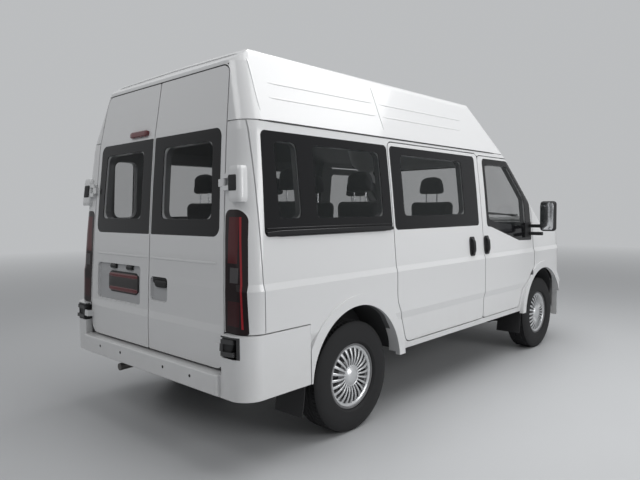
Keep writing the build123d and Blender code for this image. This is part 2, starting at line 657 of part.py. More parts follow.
def cab_frame():
    """Windscreen pillars and header, cowl, firewall and the posts that carry the front doors."""
    top = GUTTER - SEAM / 2
    frame = layer(box(-REACH, REACH, -REACH, DOOR_REAR_Y + DOOR_GAP - SEAT, BELT + SEAT, top), OUTER, INNER)
    outline, radii = front_door_outline()
    frame -= along_x(rounded(outline, radii, -DOOR_GAP), -REACH, REACH)
    frame -= along_y(screen_outline(-SEAT), -REACH, 0) - UNDER_GLASS
    frame -= along_y(screen_outline(30), -REACH, 0)
    frame -= box(-REACH, REACH, DOOR_REAR_Y - POST_HALF - SEAT, REACH, SILL_TOP, DOOR_TOP)
    frame += box(-REACH, REACH, COWL_FRONT_Y, FIREWALL_Y + FIREWALL_THICK, COWL_BOTTOM, BELT + 4) & INNER
    frame += box(-820, 820, FIREWALL_Y, FIREWALL_Y + FIREWALL_THICK, FLOOR_TOP + SEAT, COWL_BOTTOM + 10)
    hinge_x, hinge_y = FRONT_HINGE
    for side in (True, False):
        mount = box(HINGE_POST - 58, HINGE_POST, FIREWALL_Y, hinge_y + 16, ARCH_Z, BELT + 4) & FLOOR_EDGE
        mount -= box(HINGE_POST_HIGH, REACH, FIREWALL_Y - 10, REACH, HINGE_POST_STEP, REACH)
        for z in FRONT_HINGE_HEIGHTS:
            for way in (1, -1):
                lug_z = z + way * (HINGE_HALF + SEAT + HINGE_LUG / 2)
                mount += Pos(hinge_x, hinge_y, lug_z) * Cylinder(HINGE_RADIUS, HINGE_LUG)
                mount += Pos(0, 0, lug_z) * box(HINGE_POST - 10, hinge_x, hinge_y - 6, hinge_y + 6,
                                                -HINGE_LUG / 2, HINGE_LUG / 2)
        frame += mount if side else mirrored(mount)
    for side in (1, -1):
        for way in (1, -1):
            x = side * BONNET_HINGE_X + way * (30 + SEAT + 10)
            frame += rod_x(HINGE_RADIUS, x - 10, x + 10, BONNET_AXIS_Y, BONNET_AXIS_Z)
            frame += box(x - 10, x + 10, BONNET_AXIS_Y, COWL_FRONT_Y + 10, BONNET_AXIS_Z - 8, BONNET_AXIS_Z + 2)
    clear = along_x(arch_shape(FRONT_AXLE_Y, ARCH_RADIUS + HOUSE_GAP + SEAT), FRONT_HOUSE_INNER - SEAT, REACH)
    frame -= clear
    frame -= mirrored(clear)
    return one(frame)


# ================================================================ front end
BONNET_HALF_FRONT = 660.0
BONNET_HALF_REAR = 840.0
BONNET_REAR_Y = COWL_Y + 4.0
BONNET_FRONT_Y = NOSE_Y + 34.0
BONNET_GAP = 14.0           # behind the bonnet, where its rear edge swings
BONNET_AXIS_Y = BONNET_REAR_Y - 16.0
BONNET_AXIS_Z = BELT - 62.0
COWL_FRONT_Y = COWL_Y + 50.0
COWL_BOTTOM = 1180.0
HINGE_POST = 893.0          # outer face of the post that carries a front door
HINGE_POST_HIGH = 876.0     # the same above the hinges, where the door leans in
HINGE_POST_STEP = 1093.0
SWING_RADIUS = 47.0         # room round the hinge axis for the door's lower front edge
SWING_LOW = 764.0
SWING_HIGH = 812.0
BONNET_HINGE_X = 560.0
WING_REAR_Y = behind(-2395)
LAMP_LOW = 672.0
LAMP_HIGH = 905.0
LAMP_INNER = 455.0
GRILLE_HALF = 430.0
GRILLE_LOW = 692.0
GRILLE_HIGH = 880.0
GRILLE_BARS = 4
FRONT_ARCH_FRONT_Y = FRONT_AXLE_Y - ARCH_RADIUS - 12.0


def bonnet_outline(grow):
    """Bonnet in plan, widening towards the windscreen."""
    outline = [(-BONNET_HALF_FRONT, BONNET_FRONT_Y), (BONNET_HALF_FRONT, BONNET_FRONT_Y),
               (BONNET_HALF_REAR, BONNET_REAR_Y), (-BONNET_HALF_REAR, BONNET_REAR_Y)]
    return rounded(outline, [90, 90, 50, 50], -grow)


def bonnet():
    """Bonnet sheet with a hinge barrel under each rear corner."""
    lid = one(layer(along_z(bonnet_outline(0), BONNET_EDGE - 60, REACH), OUTER, UNDER_WING) - box(
        -REACH, REACH, -REACH, REACH, BELT - 1, REACH))
    lid -= headlamp_cut(-SEAM)
    lid -= mirrored(headlamp_cut(-SEAM))
    for side in (1, -1):
        x = side * BONNET_HINGE_X
        lid -= box(x - 60, x + 60, BONNET_AXIS_Y - 14, REACH, 0, REACH) & UNDER_SKIN
        lid += rod_x(HINGE_RADIUS, x - 30, x + 30, BONNET_AXIS_Y, BONNET_AXIS_Z)
        lid += box(x - 30, x + 30, BONNET_AXIS_Y - 56, BONNET_AXIS_Y - 2, BONNET_AXIS_Z - 5, BONNET_AXIS_Z + 5)
        lid += box(x - 30, x + 30, BONNET_AXIS_Y - 60, BONNET_AXIS_Y - 44, BONNET_AXIS_Z - 5, BONNET_AXIS_Z + 34)
    return one(lid)


def headlamp_outline():
    """Left headlamp in (x, z): taller towards its outer end."""
    outline = [(LAMP_INNER, LAMP_LOW), (1200.0, LAMP_LOW + 30), (1200.0, LAMP_HIGH + 110),
               (LAMP_INNER + 110, LAMP_HIGH)]
    return outline, [40, 0, 0, 60]


def headlamp_cut(inset):
    """Region of the left headlamp, back to where it ends on the wing."""
    outline, radii = headlamp_outline()
    return along_y(rounded(outline, radii, inset), -REACH, NOSE_TAPER_Y - 60 - inset)


def headlamps():
    """Large front lamps that wrap round the corners."""
    lamp = one(layer(headlamp_cut(0), OUTER, LAMP_BACK))
    return Compound(children=[lamp, mirrored(lamp)])


def grille_cut(inset):
    """Opening of the grille in the nose."""
    return along_y(rounded(rectangle(-GRILLE_HALF, GRILLE_HALF, GRILLE_LOW, GRILLE_HIGH), 36, inset),
                   -REACH, NOSE_Y + 220)


def grille():
    """Grille: a rim with level bars between its two halves."""
    frame = layer(grille_cut(0), OUTER, LAMP_BACK)
    frame -= grille_cut(22)
    pitch = (GRILLE_HIGH - GRILLE_LOW) / (GRILLE_BARS + 1)
    for i in range(GRILLE_BARS):
        z = GRILLE_LOW + pitch * (i + 1)
        slat = box(-GRILLE_HALF + 8, GRILLE_HALF - 8, -REACH, 0, z - 7, z + 7)
        frame += layer(slat, UNDER_SKIN, LAMP_BACK)
    return one(frame)


def front_wings():
    """Both front wings and the nose panel between them, round the lamps, grille and bonnet."""
    wings = layer(box(-REACH, REACH, -REACH, WING_REAR_Y - SEAM, SILL_BOTTOM, BELT), OUTER, UNDER_WING)
    wings -= along_z(bonnet_outline(SEAM), BONNET_EDGE - 60, REACH)
    wings -= box(-BONNET_HALF_REAR, BONNET_HALF_REAR, COWL_Y - 60, REACH, BONNET_EDGE, REACH)
    outline, radii = front_door_outline()
    wings -= along_x(rounded(outline, radii, -DOOR_GAP - HINGE_EDGE_GAP), -REACH, REACH)
    band = arch_band(FRONT_AXLE_Y)
    band -= along_x(rounded(outline, radii, -DOOR_GAP - HINGE_EDGE_GAP), 0, REACH)
    wings += band
    wings += mirrored(band)
    wings -= along_x(arch_shape(FRONT_AXLE_Y, ARCH_RADIUS), -REACH, REACH)
    hinge_x, hinge_y = FRONT_HINGE
    for x in (-hinge_x, hinge_x):
        wings -= Pos(x, hinge_y, (SWING_LOW + SWING_HIGH) / 2) * Cylinder(SWING_RADIUS, SWING_HIGH - SWING_LOW)
    cut = headlamp_cut(-SEAT)
    wings -= cut
    wings -= mirrored(cut)
    wings -= grille_cut(-SEAT)
    wings -= box(-REACH, REACH, -REACH, FRONT_ARCH_FRONT_Y + 40, 0, FRONT_BUMPER_TOP + SEAT)
    return one(wings)


def bumper_plan(front, grow):
    """Plan outline of a bumper: the body's own, standing out by grow."""
    half = HALF_WIDTH + grow
    if front:
        nose = NOSE_Y - (NOSE_Y + LENGTH / 2)
        return [(-half, 0), (-half, NOSE_TAPER_Y), (-NOSE_HALF + 40, nose), (NOSE_HALF - 40, nose),
                (half, NOSE_TAPER_Y), (half, 0)]
    rear = BUMPER_FACE
    return [(-half, rear), (-half, 0), (half, 0), (half, rear)]


def front_bumper():
    """Front bumper: a wrapped sheet that reaches back to the wheel arches, with a low intake."""
    plan = bumper_plan(True, 3)
    radii = [0, NOSE_TAPER_RADIUS, NOSE_RADIUS, NOSE_RADIUS, NOSE_TAPER_RADIUS, 0]
    outer = along_z(rounded(plan, radii), FRONT_BUMPER_BOTTOM, FRONT_BUMPER_TOP)
    inner = along_z(rounded(plan, radii, BUMPER_SHEET), 0, REACH)
    sheet = (outer - inner) & box(-REACH, REACH, -REACH, FRONT_ARCH_FRONT_Y, 0, REACH)
    intake = along_y(rounded(rectangle(-480, 480, 345, 470), 40), -REACH, NOSE_Y + 200)
    sheet -= intake
    for x in (-RAIL_INNER - 35, RAIL_INNER + 35):
        sheet += box(x - 35, x + 35, -LENGTH / 2 + 30, RAIL_FRONT_Y - SEAT, RAIL_BOTTOM + 20, RAIL_TOP - 10)
    return one(sheet)


def rear_bumper():
    """Rear bumper: a low step between upswept corners that wrap round to the rear wheel arches."""
    rear = BUMPER_FACE
    plan = bumper_plan(False, 3)
    radii = [CORNER_RADIUS + 6, 0, 0, CORNER_RADIUS + 6]
    outer = along_z(rounded(plan, radii), BUMPER_BOTTOM, CORNER_TOP)
    inner = along_z(rounded(plan, radii, BUMPER_SHEET), 0, REACH)
    sheet = (outer - inner) & box(-REACH, REACH, behind(ARCH_RADIUS + 14), REACH, 0, REACH)
    sheet -= box(-REAR_EDGE_LOW - 22, REAR_EDGE_LOW + 22, 0, REACH, REAR_DOOR_BOTTOM - 8, REACH)
    sheet += rounded_box(-REAR_EDGE_LOW - 10, REAR_EDGE_LOW + 10, rear - STEP_DEPTH, rear + 24,
                         BUMPER_BOTTOM + 8, REAR_DOOR_BOTTOM - 8, 9)
    for side in (1, -1):
        x, y, z = rear_axis_point(REAR_HINGE_HEIGHTS[0])
        pocket = box(x - 40, x + 104, y - 140, y + 70, z - 53, z + 53)
        sheet -= pocket if side > 0 else mirrored(pocket)
    return one(sheet)


def windscreen():
    """Bonded windscreen."""
    return one(layer(along_y(screen_outline(0), -REACH, 0), OUTER, GLASS_BACK))


# ================================================================ floor and running gear
RAIL_TOP = FLOOR_TOP - FLOOR_THICK
RAIL_FRONT_Y = -LENGTH / 2 + 150.0
CROSS_MEMBERS = (RAIL_FRONT_Y + 60.0, -760.0, -60.0, 560.0, REAR_AXLE_Y - 560.0, REAR_AXLE_Y + 520.0)


JACK_X = 600.0              # jacking pads under two cross-members
JACK_Y = (CROSS_MEMBERS[1], CROSS_MEMBERS[4])
JACK_HALF = 30.0
JACK_DEPTH = 8.0


def wheelhouse(y, inner_x):
    """Sheet over a left wheel, closed on its inner side."""
    outside = along_x(arch_shape(y, ARCH_RADIUS + HOUSE_GAP), inner_x, REACH) & SILL_SEAT
    inside = along_x(arch_shape(y, ARCH_RADIUS + HOUSE_GAP - HOUSE_SHEET), inner_x + HOUSE_SHEET, REACH)
    return (outside - inside) & box(0, REACH, -REACH, REACH, RAIL_BOTTOM, REACH)


def wheelhouses():
    """The four sheets over the wheels."""
    places = ((FRONT_AXLE_Y, FRONT_HOUSE_INNER), (REAR_AXLE_Y, REAR_HOUSE_INNER))
    left = [one(wheelhouse(y, inner_x)) for y, inner_x in places]
    return Compound(children=left + [mirrored(house) for house in left])


def floor_pan():
    """Floor, two long rails, cross-members out to the sills and four jacking pads under them."""
    pan = box(-REACH, REACH, FIREWALL_Y, REAR_POST_Y - SEAT, RAIL_TOP, FLOOR_TOP) & FLOOR_EDGE
    pan += box(-780, 780, REAR_AXLE_Y, behind(800), RAIL_TOP, FLOOR_TOP)
    pan -= box(-REACH, REACH, DOOR_REAR_Y - POST_HALF - SEAT, DOOR_REAR_Y + POST_REAR + SEAT, 0, REACH) - POST_SEAT
    for side in (1, -1):
        inner, outer = sorted((side * RAIL_INNER, side * RAIL_OUTER))
        pan += box(inner, outer, RAIL_FRONT_Y, REAR_BEAM_FRONT - SEAT, RAIL_BOTTOM, RAIL_TOP)
    for y in CROSS_MEMBERS:
        reach = RAIL_OUTER if y < FIREWALL_Y else 870
        pan += box(-reach, reach, y - 35, y + 35, RAIL_BOTTOM, RAIL_TOP) & FLOOR_EDGE
    for y in CROSS_MEMBERS[1:5]:
        pan += box(-REACH, REACH, y - 30, y + 30, RAIL_BOTTOM, SILL_TOP) & SILL_SEAT
    for y, inner_x in ((FRONT_AXLE_Y, FRONT_HOUSE_INNER), (REAR_AXLE_Y, REAR_HOUSE_INNER)):
        hollow = along_x(arch_shape(y, ARCH_RADIUS + HOUSE_GAP + SEAT), inner_x - SEAT, REACH)
        pan -= hollow
        pan -= mirrored(hollow)
    for y in JACK_Y:
        for x in (-JACK_X, JACK_X):
            pan += box(x - JACK_HALF, x + JACK_HALF, y - JACK_HALF, y + JACK_HALF,
                       RAIL_BOTTOM - JACK_DEPTH, RAIL_BOTTOM + 2)
    rail_x = (RAIL_INNER + RAIL_OUTER) / 2
    for x in (-rail_x, rail_x):
        for distance in TOW_HOLES:
            pan -= Pos(x, behind(distance), (RAIL_BOTTOM + FLOOR_TOP) / 2) * Cylinder(
                TOW_HOLE_RADIUS, 2 * (FLOOR_TOP - RAIL_BOTTOM))
    return one(pan)


ENGINE_FRONT_Y = FRONT_AXLE_Y - 640.0
ENGINE_REAR_Y = FRONT_AXLE_Y + 46.0
GEARBOX_REAR_Y = ENGINE_REAR_Y + 560.0


def engine():
    """Engine as one block, with its gearbox behind it under the floor."""
    block = rounded_box(-290, 290, ENGINE_FRONT_Y, ENGINE_REAR_Y, 335, 900, 30)
    box_behind = rounded_box(-125, 125, ENGINE_REAR_Y - 40, GEARBOX_REAR_Y, 300, 530, 24)
    mounts = box(-RAIL_INNER + SEAT, RAIL_INNER - SEAT, ENGINE_FRONT_Y + 240, ENGINE_FRONT_Y + 320, 470, 540)
    return one(block + box_behind + mounts)


def rear_axle():
    """Live axle with its drums, leaf springs and propeller shaft."""
    z = TYRE_RADIUS
    face = WHEEL_TRACK_HALF + 66
    axle = rod_x(AXLE_TUBE, -DRUM_INNER_X, DRUM_INNER_X, REAR_AXLE_Y, z)
    axle += Pos(0, REAR_AXLE_Y, z) * Sphere(128)
    axle += rod_x(STUB_RADIUS, -face, face, REAR_AXLE_Y, z)
    for side in (1, -1):
        inner, outer = sorted((side * DRUM_INNER_X, side * (DRUM_INNER_X + 72)))
        axle += rod_x(DRUM_RADIUS, inner, outer, REAR_AXLE_Y, z)
    axle += rod_between((0, GEARBOX_REAR_Y + 3 * SEAT, 405), (0, REAR_AXLE_Y - 80, z + 6), 32)
    for side in (1, -1):
        x = side * (RAIL_INNER + RAIL_OUTER) / 2
        spring = leaf_spring()
        axle += Pos(x, 0, 0) * spring
    return one(axle)


DRUM_INNER_X = 702.0
LEAF_HALF = 620.0
LEAF_WIDTH = 58.0
LEAF_THICK = 26.0


def leaf_spring():
    """Bowed leaf spring over the axle with an eye under the rail at each end."""
    low = TYRE_RADIUS + AXLE_TUBE - 6
    eye_z = RAIL_BOTTOM - 22 - SEAT
    start, mid, end = (-LEAF_HALF, eye_z), (0, low + LEAF_THICK / 2), (LEAF_HALF, eye_z)
    path = [Edge.make_three_point_arc(_yz(start, 1), _yz(mid, 1), _yz(end, 1)),
            Edge.make_line(_yz(end, 1), _yz(end, -1)),
            Edge.make_three_point_arc(_yz(end, -1), _yz(mid, -1), _yz(start, -1)),
            Edge.make_line(_yz(start, -1), _yz(start, 1))]
    leaf = extrude(Face(Wire(path)), amount=LEAF_WIDTH / 2, both=True)
    for y in (-LEAF_HALF, LEAF_HALF):
        leaf += rod_x(22, -LEAF_WIDTH / 2, LEAF_WIDTH / 2, REAR_AXLE_Y + y, eye_z)
    return leaf


def _yz(point, side):
    """Point on the upper or lower face of the spring leaf, in its own plane at x = 0."""
    y, z = point
    return (0, REAR_AXLE_Y + y, z + side * LEAF_THICK / 2)


def front_subframe():
    """Cross-beam under the engine with the lower arms and the struts that hold the knuckles."""
    beam_z = 245
    frame = box(-RAIL_INNER, RAIL_INNER, FRONT_AXLE_Y - 70, FRONT_AXLE_Y + 70, beam_z - 35, beam_z + 35)
    for side in (1, -1):
        x0, x1 = sorted((side * (RAIL_INNER - 35), side * RAIL_OUTER))
        frame += box(x0, x1, FRONT_AXLE_Y - 60, FRONT_AXLE_Y + 60, beam_z - 35, RAIL_BOTTOM - SEAT)
        for dy in (-60, 60):
            frame += rod_between((side * 430, FRONT_AXLE_Y + dy * 1.6, beam_z - 20),
                                 (side * KINGPIN_X, FRONT_AXLE_Y, KNUCKLE_BOTTOM - 14 - SEAT), 13)
        frame += box(side * 430 - 30, side * 430 + 30, FRONT_AXLE_Y - 110, FRONT_AXLE_Y + 110, beam_z - 40, beam_z)
        frame += Pos(side * KINGPIN_X, FRONT_AXLE_Y, KNUCKLE_BOTTOM - 14 - SEAT) * Cylinder(22, 28)
        house = ARCH_RADIUS + HOUSE_GAP - HOUSE_SHEET
        strut_top = ARCH_Z + (house**2 - STRUT_RADIUS**2) ** 0.5 - SEAT
        frame += rod_between((side * KINGPIN_X, FRONT_AXLE_Y, KNUCKLE_TOP + SEAT),
                             (side * KINGPIN_X, FRONT_AXLE_Y, strut_top), STRUT_RADIUS)
    return frame


STRUT_RADIUS = 27.0
KNUCKLE_BOTTOM = 262.0
KNUCKLE_TOP = 470.0


def knuckle():
    """Left steering knuckle with its stub axle and brake disc."""
    body_ = Pos(KINGPIN_X, FRONT_AXLE_Y, (KNUCKLE_BOTTOM + KNUCKLE_TOP) / 2) * Cylinder(
        26, KNUCKLE_TOP - KNUCKLE_BOTTOM)
    body_ += rod_x(STUB_RADIUS, KINGPIN_X, WHEEL_TRACK_HALF + 66, FRONT_AXLE_Y, TYRE_RADIUS)
    body_ += rod_x(DRUM_RADIUS, WHEEL_TRACK_HALF - 70, WHEEL_TRACK_HALF - 44, FRONT_AXLE_Y, TYRE_RADIUS)
    return one(body_)


def ring_x(points, radii, y, z):
    """Solid of revolution about a line along X, from (x, radius) points."""
    face = rounded(points, radii)
    solid = revolve(face, Axis((0, 0, 0), (1, 0, 0)))
    return Pos(0, y, z) * solid


def tyre(y):
    """Left tyre on the axle at y."""
    half, mid = TYRE_WIDTH / 2, WHEEL_TRACK_HALF
    inner, outer = RIM_RADIUS + SEAT, TYRE_RADIUS
    points = [(mid - half + 14, inner), (mid + half - 14, inner), (mid + half, (inner + outer) / 2 - 10),
              (mid + half - 16, outer), (mid - half + 16, outer), (mid - half, (inner + outer) / 2 - 10)]
    return ring_x(points, [6, 6, 60, 30, 30, 60], y, TYRE_RADIUS)


def rim(y):
    """Left wheel: rim barrel, dished disc with a ring of slots, and hub."""
    half, mid = RIM_WIDTH / 2, WHEEL_TRACK_HALF
    barrel = ring_x([(mid - half, RIM_RADIUS - 16), (mid + half, RIM_RADIUS - 16), (mid + half, RIM_RADIUS),
                     (mid - half, RIM_RADIUS)], 3, y, TYRE_RADIUS)
    bore = STUB_RADIUS + RUNNING_FIT
    disc = ring_x([(mid + 30, bore), (mid + 70, bore), (mid + 70, 78.0), (mid + 52, 120.0),
                   (mid + 66, RIM_RADIUS - 10), (mid + 48, RIM_RADIUS - 10), (mid + 36, 120.0)],
                  [2, 2, 14, 20, 3, 3, 20], y, TYRE_RADIUS)
    return one(barrel + disc)


def exhaust():
    """Exhaust pipe from the engine to the tail, with a silencer."""
    route = [(235, ENGINE_REAR_Y + 30, 400), (250, -500, 366), (250, 300, 366),
             (255, REAR_AXLE_Y - 260, 430), (262, REAR_AXLE_Y - 120, 495), (262, REAR_AXLE_Y + 120, 495),
             (290, REAR_AXLE_Y + 320, 410), (335, behind(REAR_OVERHANG - 30), 372)]
    pipe = Pos(*route[0]) * Sphere(24)
    for start, end in zip(route, route[1:]):
        pipe += rod_between(start, end, 24)
        pipe += Pos(*end) * Sphere(24)
    pipe += Pos(250, 60, 366) * Rot(90, 0, 0) * Cylinder(82, 560)
    hanger_y = CROSS_MEMBERS[2]
    pipe += box(240, 260, hanger_y - 12, hanger_y + 12, 430, RAIL_BOTTOM - SEAT)
    pipe -= box(0, REACH, behind(REAR_OVERHANG - 34), REACH, 0, REACH)
    return one(pipe)


def fuel_tank():
    """Tank strapped under the floor between the rails."""
    tank = rounded_box(-385, -95, -560, 480, 318, 448, 34)
    tank += box(-330, -150, CROSS_MEMBERS[2] - 30, CROSS_MEMBERS[2] + 30, 430, RAIL_BOTTOM - SEAT)
    return one(tank)


# ================================================================ cabin
def dashboard():
    """Dashboard across the cab with the column's shroud."""
    half = HINGE_POST - 58 - SEAT
    block = box(-half, half, FIREWALL_Y + FIREWALL_THICK + SEAT, FIREWALL_Y + 250, 900, BELT - 30)
    return one(block + column_plane() * Pos(0, 0, -290) * Cylinder(34, 180 - 2 * SEAT))


WHEEL_CENTRE = (430.0, FIREWALL_Y + 470.0, 1135.0)
COLUMN_TILT = 42.0          # steering axis above the level, degrees


def column_plane():
    """Plane of the steering wheel, square to its column."""
    return Plane(origin=WHEEL_CENTRE, x_dir=(1, 0, 0),
                 z_dir=(0, cos(radians(COLUMN_TILT)), sin(radians(COLUMN_TILT))))


def steering_wheel():
    """Steering wheel with three spokes on its column."""
    wheel = Torus(190, 15)
    wheel += Pos(0, 0, -12) * Cylinder(52, 44)
    for turn in (0, 180, 270):
        wheel += Rot(0, 0, turn) * Pos(110, 0, -8) * Box(150, 34, 14)
    wheel += Pos(0, 0, -100) * Cylinder(22, 200)
    return one(column_plane() * wheel)


def seat(x, y, width, base):
    """One seat facing forwards: y is the back of its backrest and base the top of the floor."""
    half = width / 2
    pieces = [
        rounded_box(x - half, x + half, y - 540, y - 70, base + 250, base + 385, 40),
        rounded_box(x - half + 8, x + half - 8, y - 105, y, base + 400, base + 890, 40),
        rounded_box(x - 130, x + 130, y - 92, y - 14, base + 935, base + 1100, 32),
    ]
    frame = box(x - half + 60, x + half - 60, y - 500, y - 60, base + SEAT, base + 250 - SEAT)
    return pieces, frame


FRONT_SEAT_Y = behind(-1665)
ROW_TWO_Y = behind(-560)
ROW_THREE_Y = behind(150)
SEAT_WIDTH = 470.0


def seats(rows):
    """Cushions, backs and headrests of the given (x, y) seats, each seat joined by its frame."""
    solids = []
    for x, y in rows:
        pieces, frame = seat(x, y, SEAT_WIDTH, FLOOR_TOP)
        whole = frame
        whole += box(x - 170, x + 170, y - 90, y - 30, FLOOR_TOP + 200, FLOOR_TOP + 700)
        for piece in pieces:
            whole += piece
        whole += box(x - 170, x + 170, y - 500, y - 100, FLOOR_TOP + 200, FLOOR_TOP + 300)
        for dx in (-60, 60):
            whole += Pos(x + dx, y - 53, FLOOR_TOP + 900) * Cylinder(7, 120)
        solids += whole.solids()
    return Compound(children=solids)


def front_seats():
    """Driver's and passenger's seats."""
    return seats([(440, FRONT_SEAT_Y), (-440, FRONT_SEAT_Y)])


def rear_seats():
    """Two rows behind the front seats."""
    columns = (-500, -10, 480)
    return seats([(x, y) for y in (ROW_TWO_Y, ROW_THREE_Y) for x in columns])


def mirror_piece():
    """Left door mirror: arm and tall housing."""
    base_y = DOOR_FRONT_Y + 70
    x0 = HALF_WIDTH - 22
    housing = rounded_box(1085, 1225, base_y - 10, base_y + 70, 1190, 1470, 30)
    arm = box(x0 - 8, 1100, base_y + 8, base_y + 48, 1222, 1252) + box(x0 - 8, 1100, base_y + 8, base_y + 48,
                                                                      1150, 1180)
    arm += box(x0 - 8, x0 + 16, base_y, base_y + 130, 1130, 1270)
    return one(housing + arm - body(-SEAT))


def main():
    """Write one STEP file per node."""
    os.makedirs("parts", exist_ok=True)
    pieces = {
        "floor_pan": floor_pan(),
        "wheelhouses": wheelhouses(),
        "side_panels": Compound(children=[side_panel(True), side_panel(False)]),
        "sliding_door": sliding_door(),
        "side_glass": side_glass(),
        "roof_cap": roof_cap(),
        "rear_frame": rear_frame(),
        "cab_frame": cab_frame(),
        "front_wings": front_wings(),
        "bonnet": bonnet(),
        "grille": grille(),
        "headlamps": headlamps(),
        "tail_lamps": tail_lamps(),
        "front_bumper": front_bumper(),
        "rear_bumper": rear_bumper(),
        "windscreen": windscreen(),
        "dashboard": dashboard(),
        "steering_wheel": steering_wheel(),
        "front_seats": front_seats(),
        "rear_seats": rear_seats(),
        "engine": engine(),
        "rear_axle": rear_axle(),
        "front_subframe": front_subframe(),
        "exhaust": exhaust(),
        "fuel_tank": fuel_tank(),
        "rear_door_left": rear_door(True),
        "rear_door_right": rear_door(False),
    }
    pairs = {"front_door": front_door(), "front_door_glass": front_pane(), "mirror": mirror_piece(),
             "rear_door_glass": rear_pane(), "knuckle": knuckle()}
    for name, y in (("front", FRONT_AXLE_Y), ("rear", REAR_AXLE_Y)):
        pairs[name + "_tyre"] = tyre(y)
        pairs[name + "_rim"] = rim(y)
    for name, left in pairs.items():
        pieces[name + "_left"] = left
        pieces[name + "_right"] = mirrored(left)
    for name, piece in pieces.items():
        export_step(piece, "parts/" + name + ".step")


if __name__ == "__main__":
    main()
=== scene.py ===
# %% [markdown]
# # A high-roof passenger van, dressed for its portrait
# The CAD model of the van is a fixed frame: its panels, wheels and doors already have their real
# size and place. This lesson adds what a maker would add last: paint, glass with black borders,
# tread, wheel covers, padded seats, handles, mud flaps and lamps. Black strips of painted shade lie
# along the gutters and over the rear doors. Everything is in metres. The front of the van faces -Y,
# +X is its left-hand side and the ground is at z = 0.

# %% Load the frame
import math
import bmesh
import bpy
import mathutils
import numpy as np
from mathutils.bvhtree import BVHTree
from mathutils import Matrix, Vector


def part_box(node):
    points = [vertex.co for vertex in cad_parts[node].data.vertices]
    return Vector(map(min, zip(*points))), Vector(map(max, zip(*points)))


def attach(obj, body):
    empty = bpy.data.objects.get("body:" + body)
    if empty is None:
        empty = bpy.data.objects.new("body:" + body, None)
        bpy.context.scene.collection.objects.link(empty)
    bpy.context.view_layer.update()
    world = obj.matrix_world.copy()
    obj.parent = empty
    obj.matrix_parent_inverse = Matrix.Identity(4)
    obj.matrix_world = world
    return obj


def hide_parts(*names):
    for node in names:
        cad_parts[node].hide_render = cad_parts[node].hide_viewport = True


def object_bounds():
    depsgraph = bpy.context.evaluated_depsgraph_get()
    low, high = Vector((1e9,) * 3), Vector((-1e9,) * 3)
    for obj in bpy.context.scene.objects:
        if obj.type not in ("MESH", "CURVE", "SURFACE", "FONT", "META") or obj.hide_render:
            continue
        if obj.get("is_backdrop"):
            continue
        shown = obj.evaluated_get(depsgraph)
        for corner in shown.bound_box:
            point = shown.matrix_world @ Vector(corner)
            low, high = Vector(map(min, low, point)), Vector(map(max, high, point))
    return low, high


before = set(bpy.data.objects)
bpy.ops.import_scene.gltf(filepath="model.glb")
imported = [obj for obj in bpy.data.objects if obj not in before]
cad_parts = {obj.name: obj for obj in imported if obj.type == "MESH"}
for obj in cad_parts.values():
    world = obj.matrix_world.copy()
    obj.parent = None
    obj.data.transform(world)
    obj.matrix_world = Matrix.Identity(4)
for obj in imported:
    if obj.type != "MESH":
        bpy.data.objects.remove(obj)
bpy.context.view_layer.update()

VAN = "van_body"
SIDES = (("left", 1), ("right", -1))
REAR_AXLE = sum(c[1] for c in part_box("rear_tyre_right")) / 2
FRONT_AXLE = sum(c[1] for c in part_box("front_tyre_right")) / 2

# %% [markdown]
# ## Meshes from arrays
# A new piece is a surface worked out with numpy. Two forms are enough for most of a vehicle: a
# sheet, which is a function of two parameters on a grid, and a profile carried along a path. Whole
# arrays are computed at once and handed to Blender, which is fast and leaves no loose corners.

# %% Helpers for meshes
def mesh_piece(name, points, faces, crease=35):
    """Smooth object at the origin from an (n, 3) array and index arrays; edges over crease degrees stay sharp."""
    mesh = bpy.data.meshes.new(name)
    mesh.from_pydata(points.reshape(-1, 3).tolist(), [], [f.tolist() for f in faces])
    mesh.validate()
    mesh.shade_smooth()
    mesh.set_sharp_from_angle(angle=math.radians(crease))
    piece = bpy.data.objects.new(name, mesh)
    bpy.context.scene.collection.objects.link(piece)
    return piece


def points_of(mesh):
    """Vertex places of a mesh as an (n, 3) array."""
    points = np.empty(len(mesh.vertices) * 3)
    mesh.vertices.foreach_get("co", points)
    return points.reshape(-1, 3)


def points_at(x, y, z):
    """Points from three coordinates, each a number or an array."""
    return np.stack(np.broadcast_arrays(x, y, z), -1)


def grid_faces(rows, columns, wrap_rows=False, wrap_columns=False, start=0):
    """Quads of a rows x columns grid of points, with either direction closed if it wraps."""
    i, j = np.meshgrid(np.arange(rows - (not wrap_rows)), np.arange(columns - (not wrap_columns)), indexing="ij")
    k, l = (i + 1) % rows, (j + 1) % columns
    return np.stack([i * columns + j, k * columns + j, k * columns + l, i * columns + l], -1).reshape(-1, 4) + start


def carried(path, across, out, profile, scale=None):
    """Profile (m, 2) carried along path (n, 3): point = path + across * p0 + out * p1, ends closed by caps.

    across and out are unit vectors, one for all of the path or one a point; scale shrinks each section.
    """
    path = np.asarray(path, float)
    across, out = np.broadcast_to(across, path.shape), np.broadcast_to(out, path.shape)
    scale = np.ones(len(path)) if scale is None else np.asarray(scale, float)
    flat = np.asarray(profile)[None] * scale[:, None, None]
    points = path[:, None] + across[:, None] * flat[..., :1] + out[:, None] * flat[..., 1:]
    rows, columns = points.shape[:2]
    ring = np.arange(columns)
    faces = list(grid_faces(rows, columns, wrap_columns=True)) + [ring, ring[::-1] + (rows - 1) * columns]
    return points.reshape(-1, 3), faces


def joined(parts):
    """Several (points, faces) pairs as one."""
    points, faces, start = [], [], 0
    for p, f in parts:
        points.append(p.reshape(-1, 3))
        faces += [g + start for g in f]
        start += len(points[-1])
    return np.vstack(points), faces


def round_circle(steps):
    """Angles of equal steps round a circle."""
    return np.arange(steps) * 2 * math.pi / steps


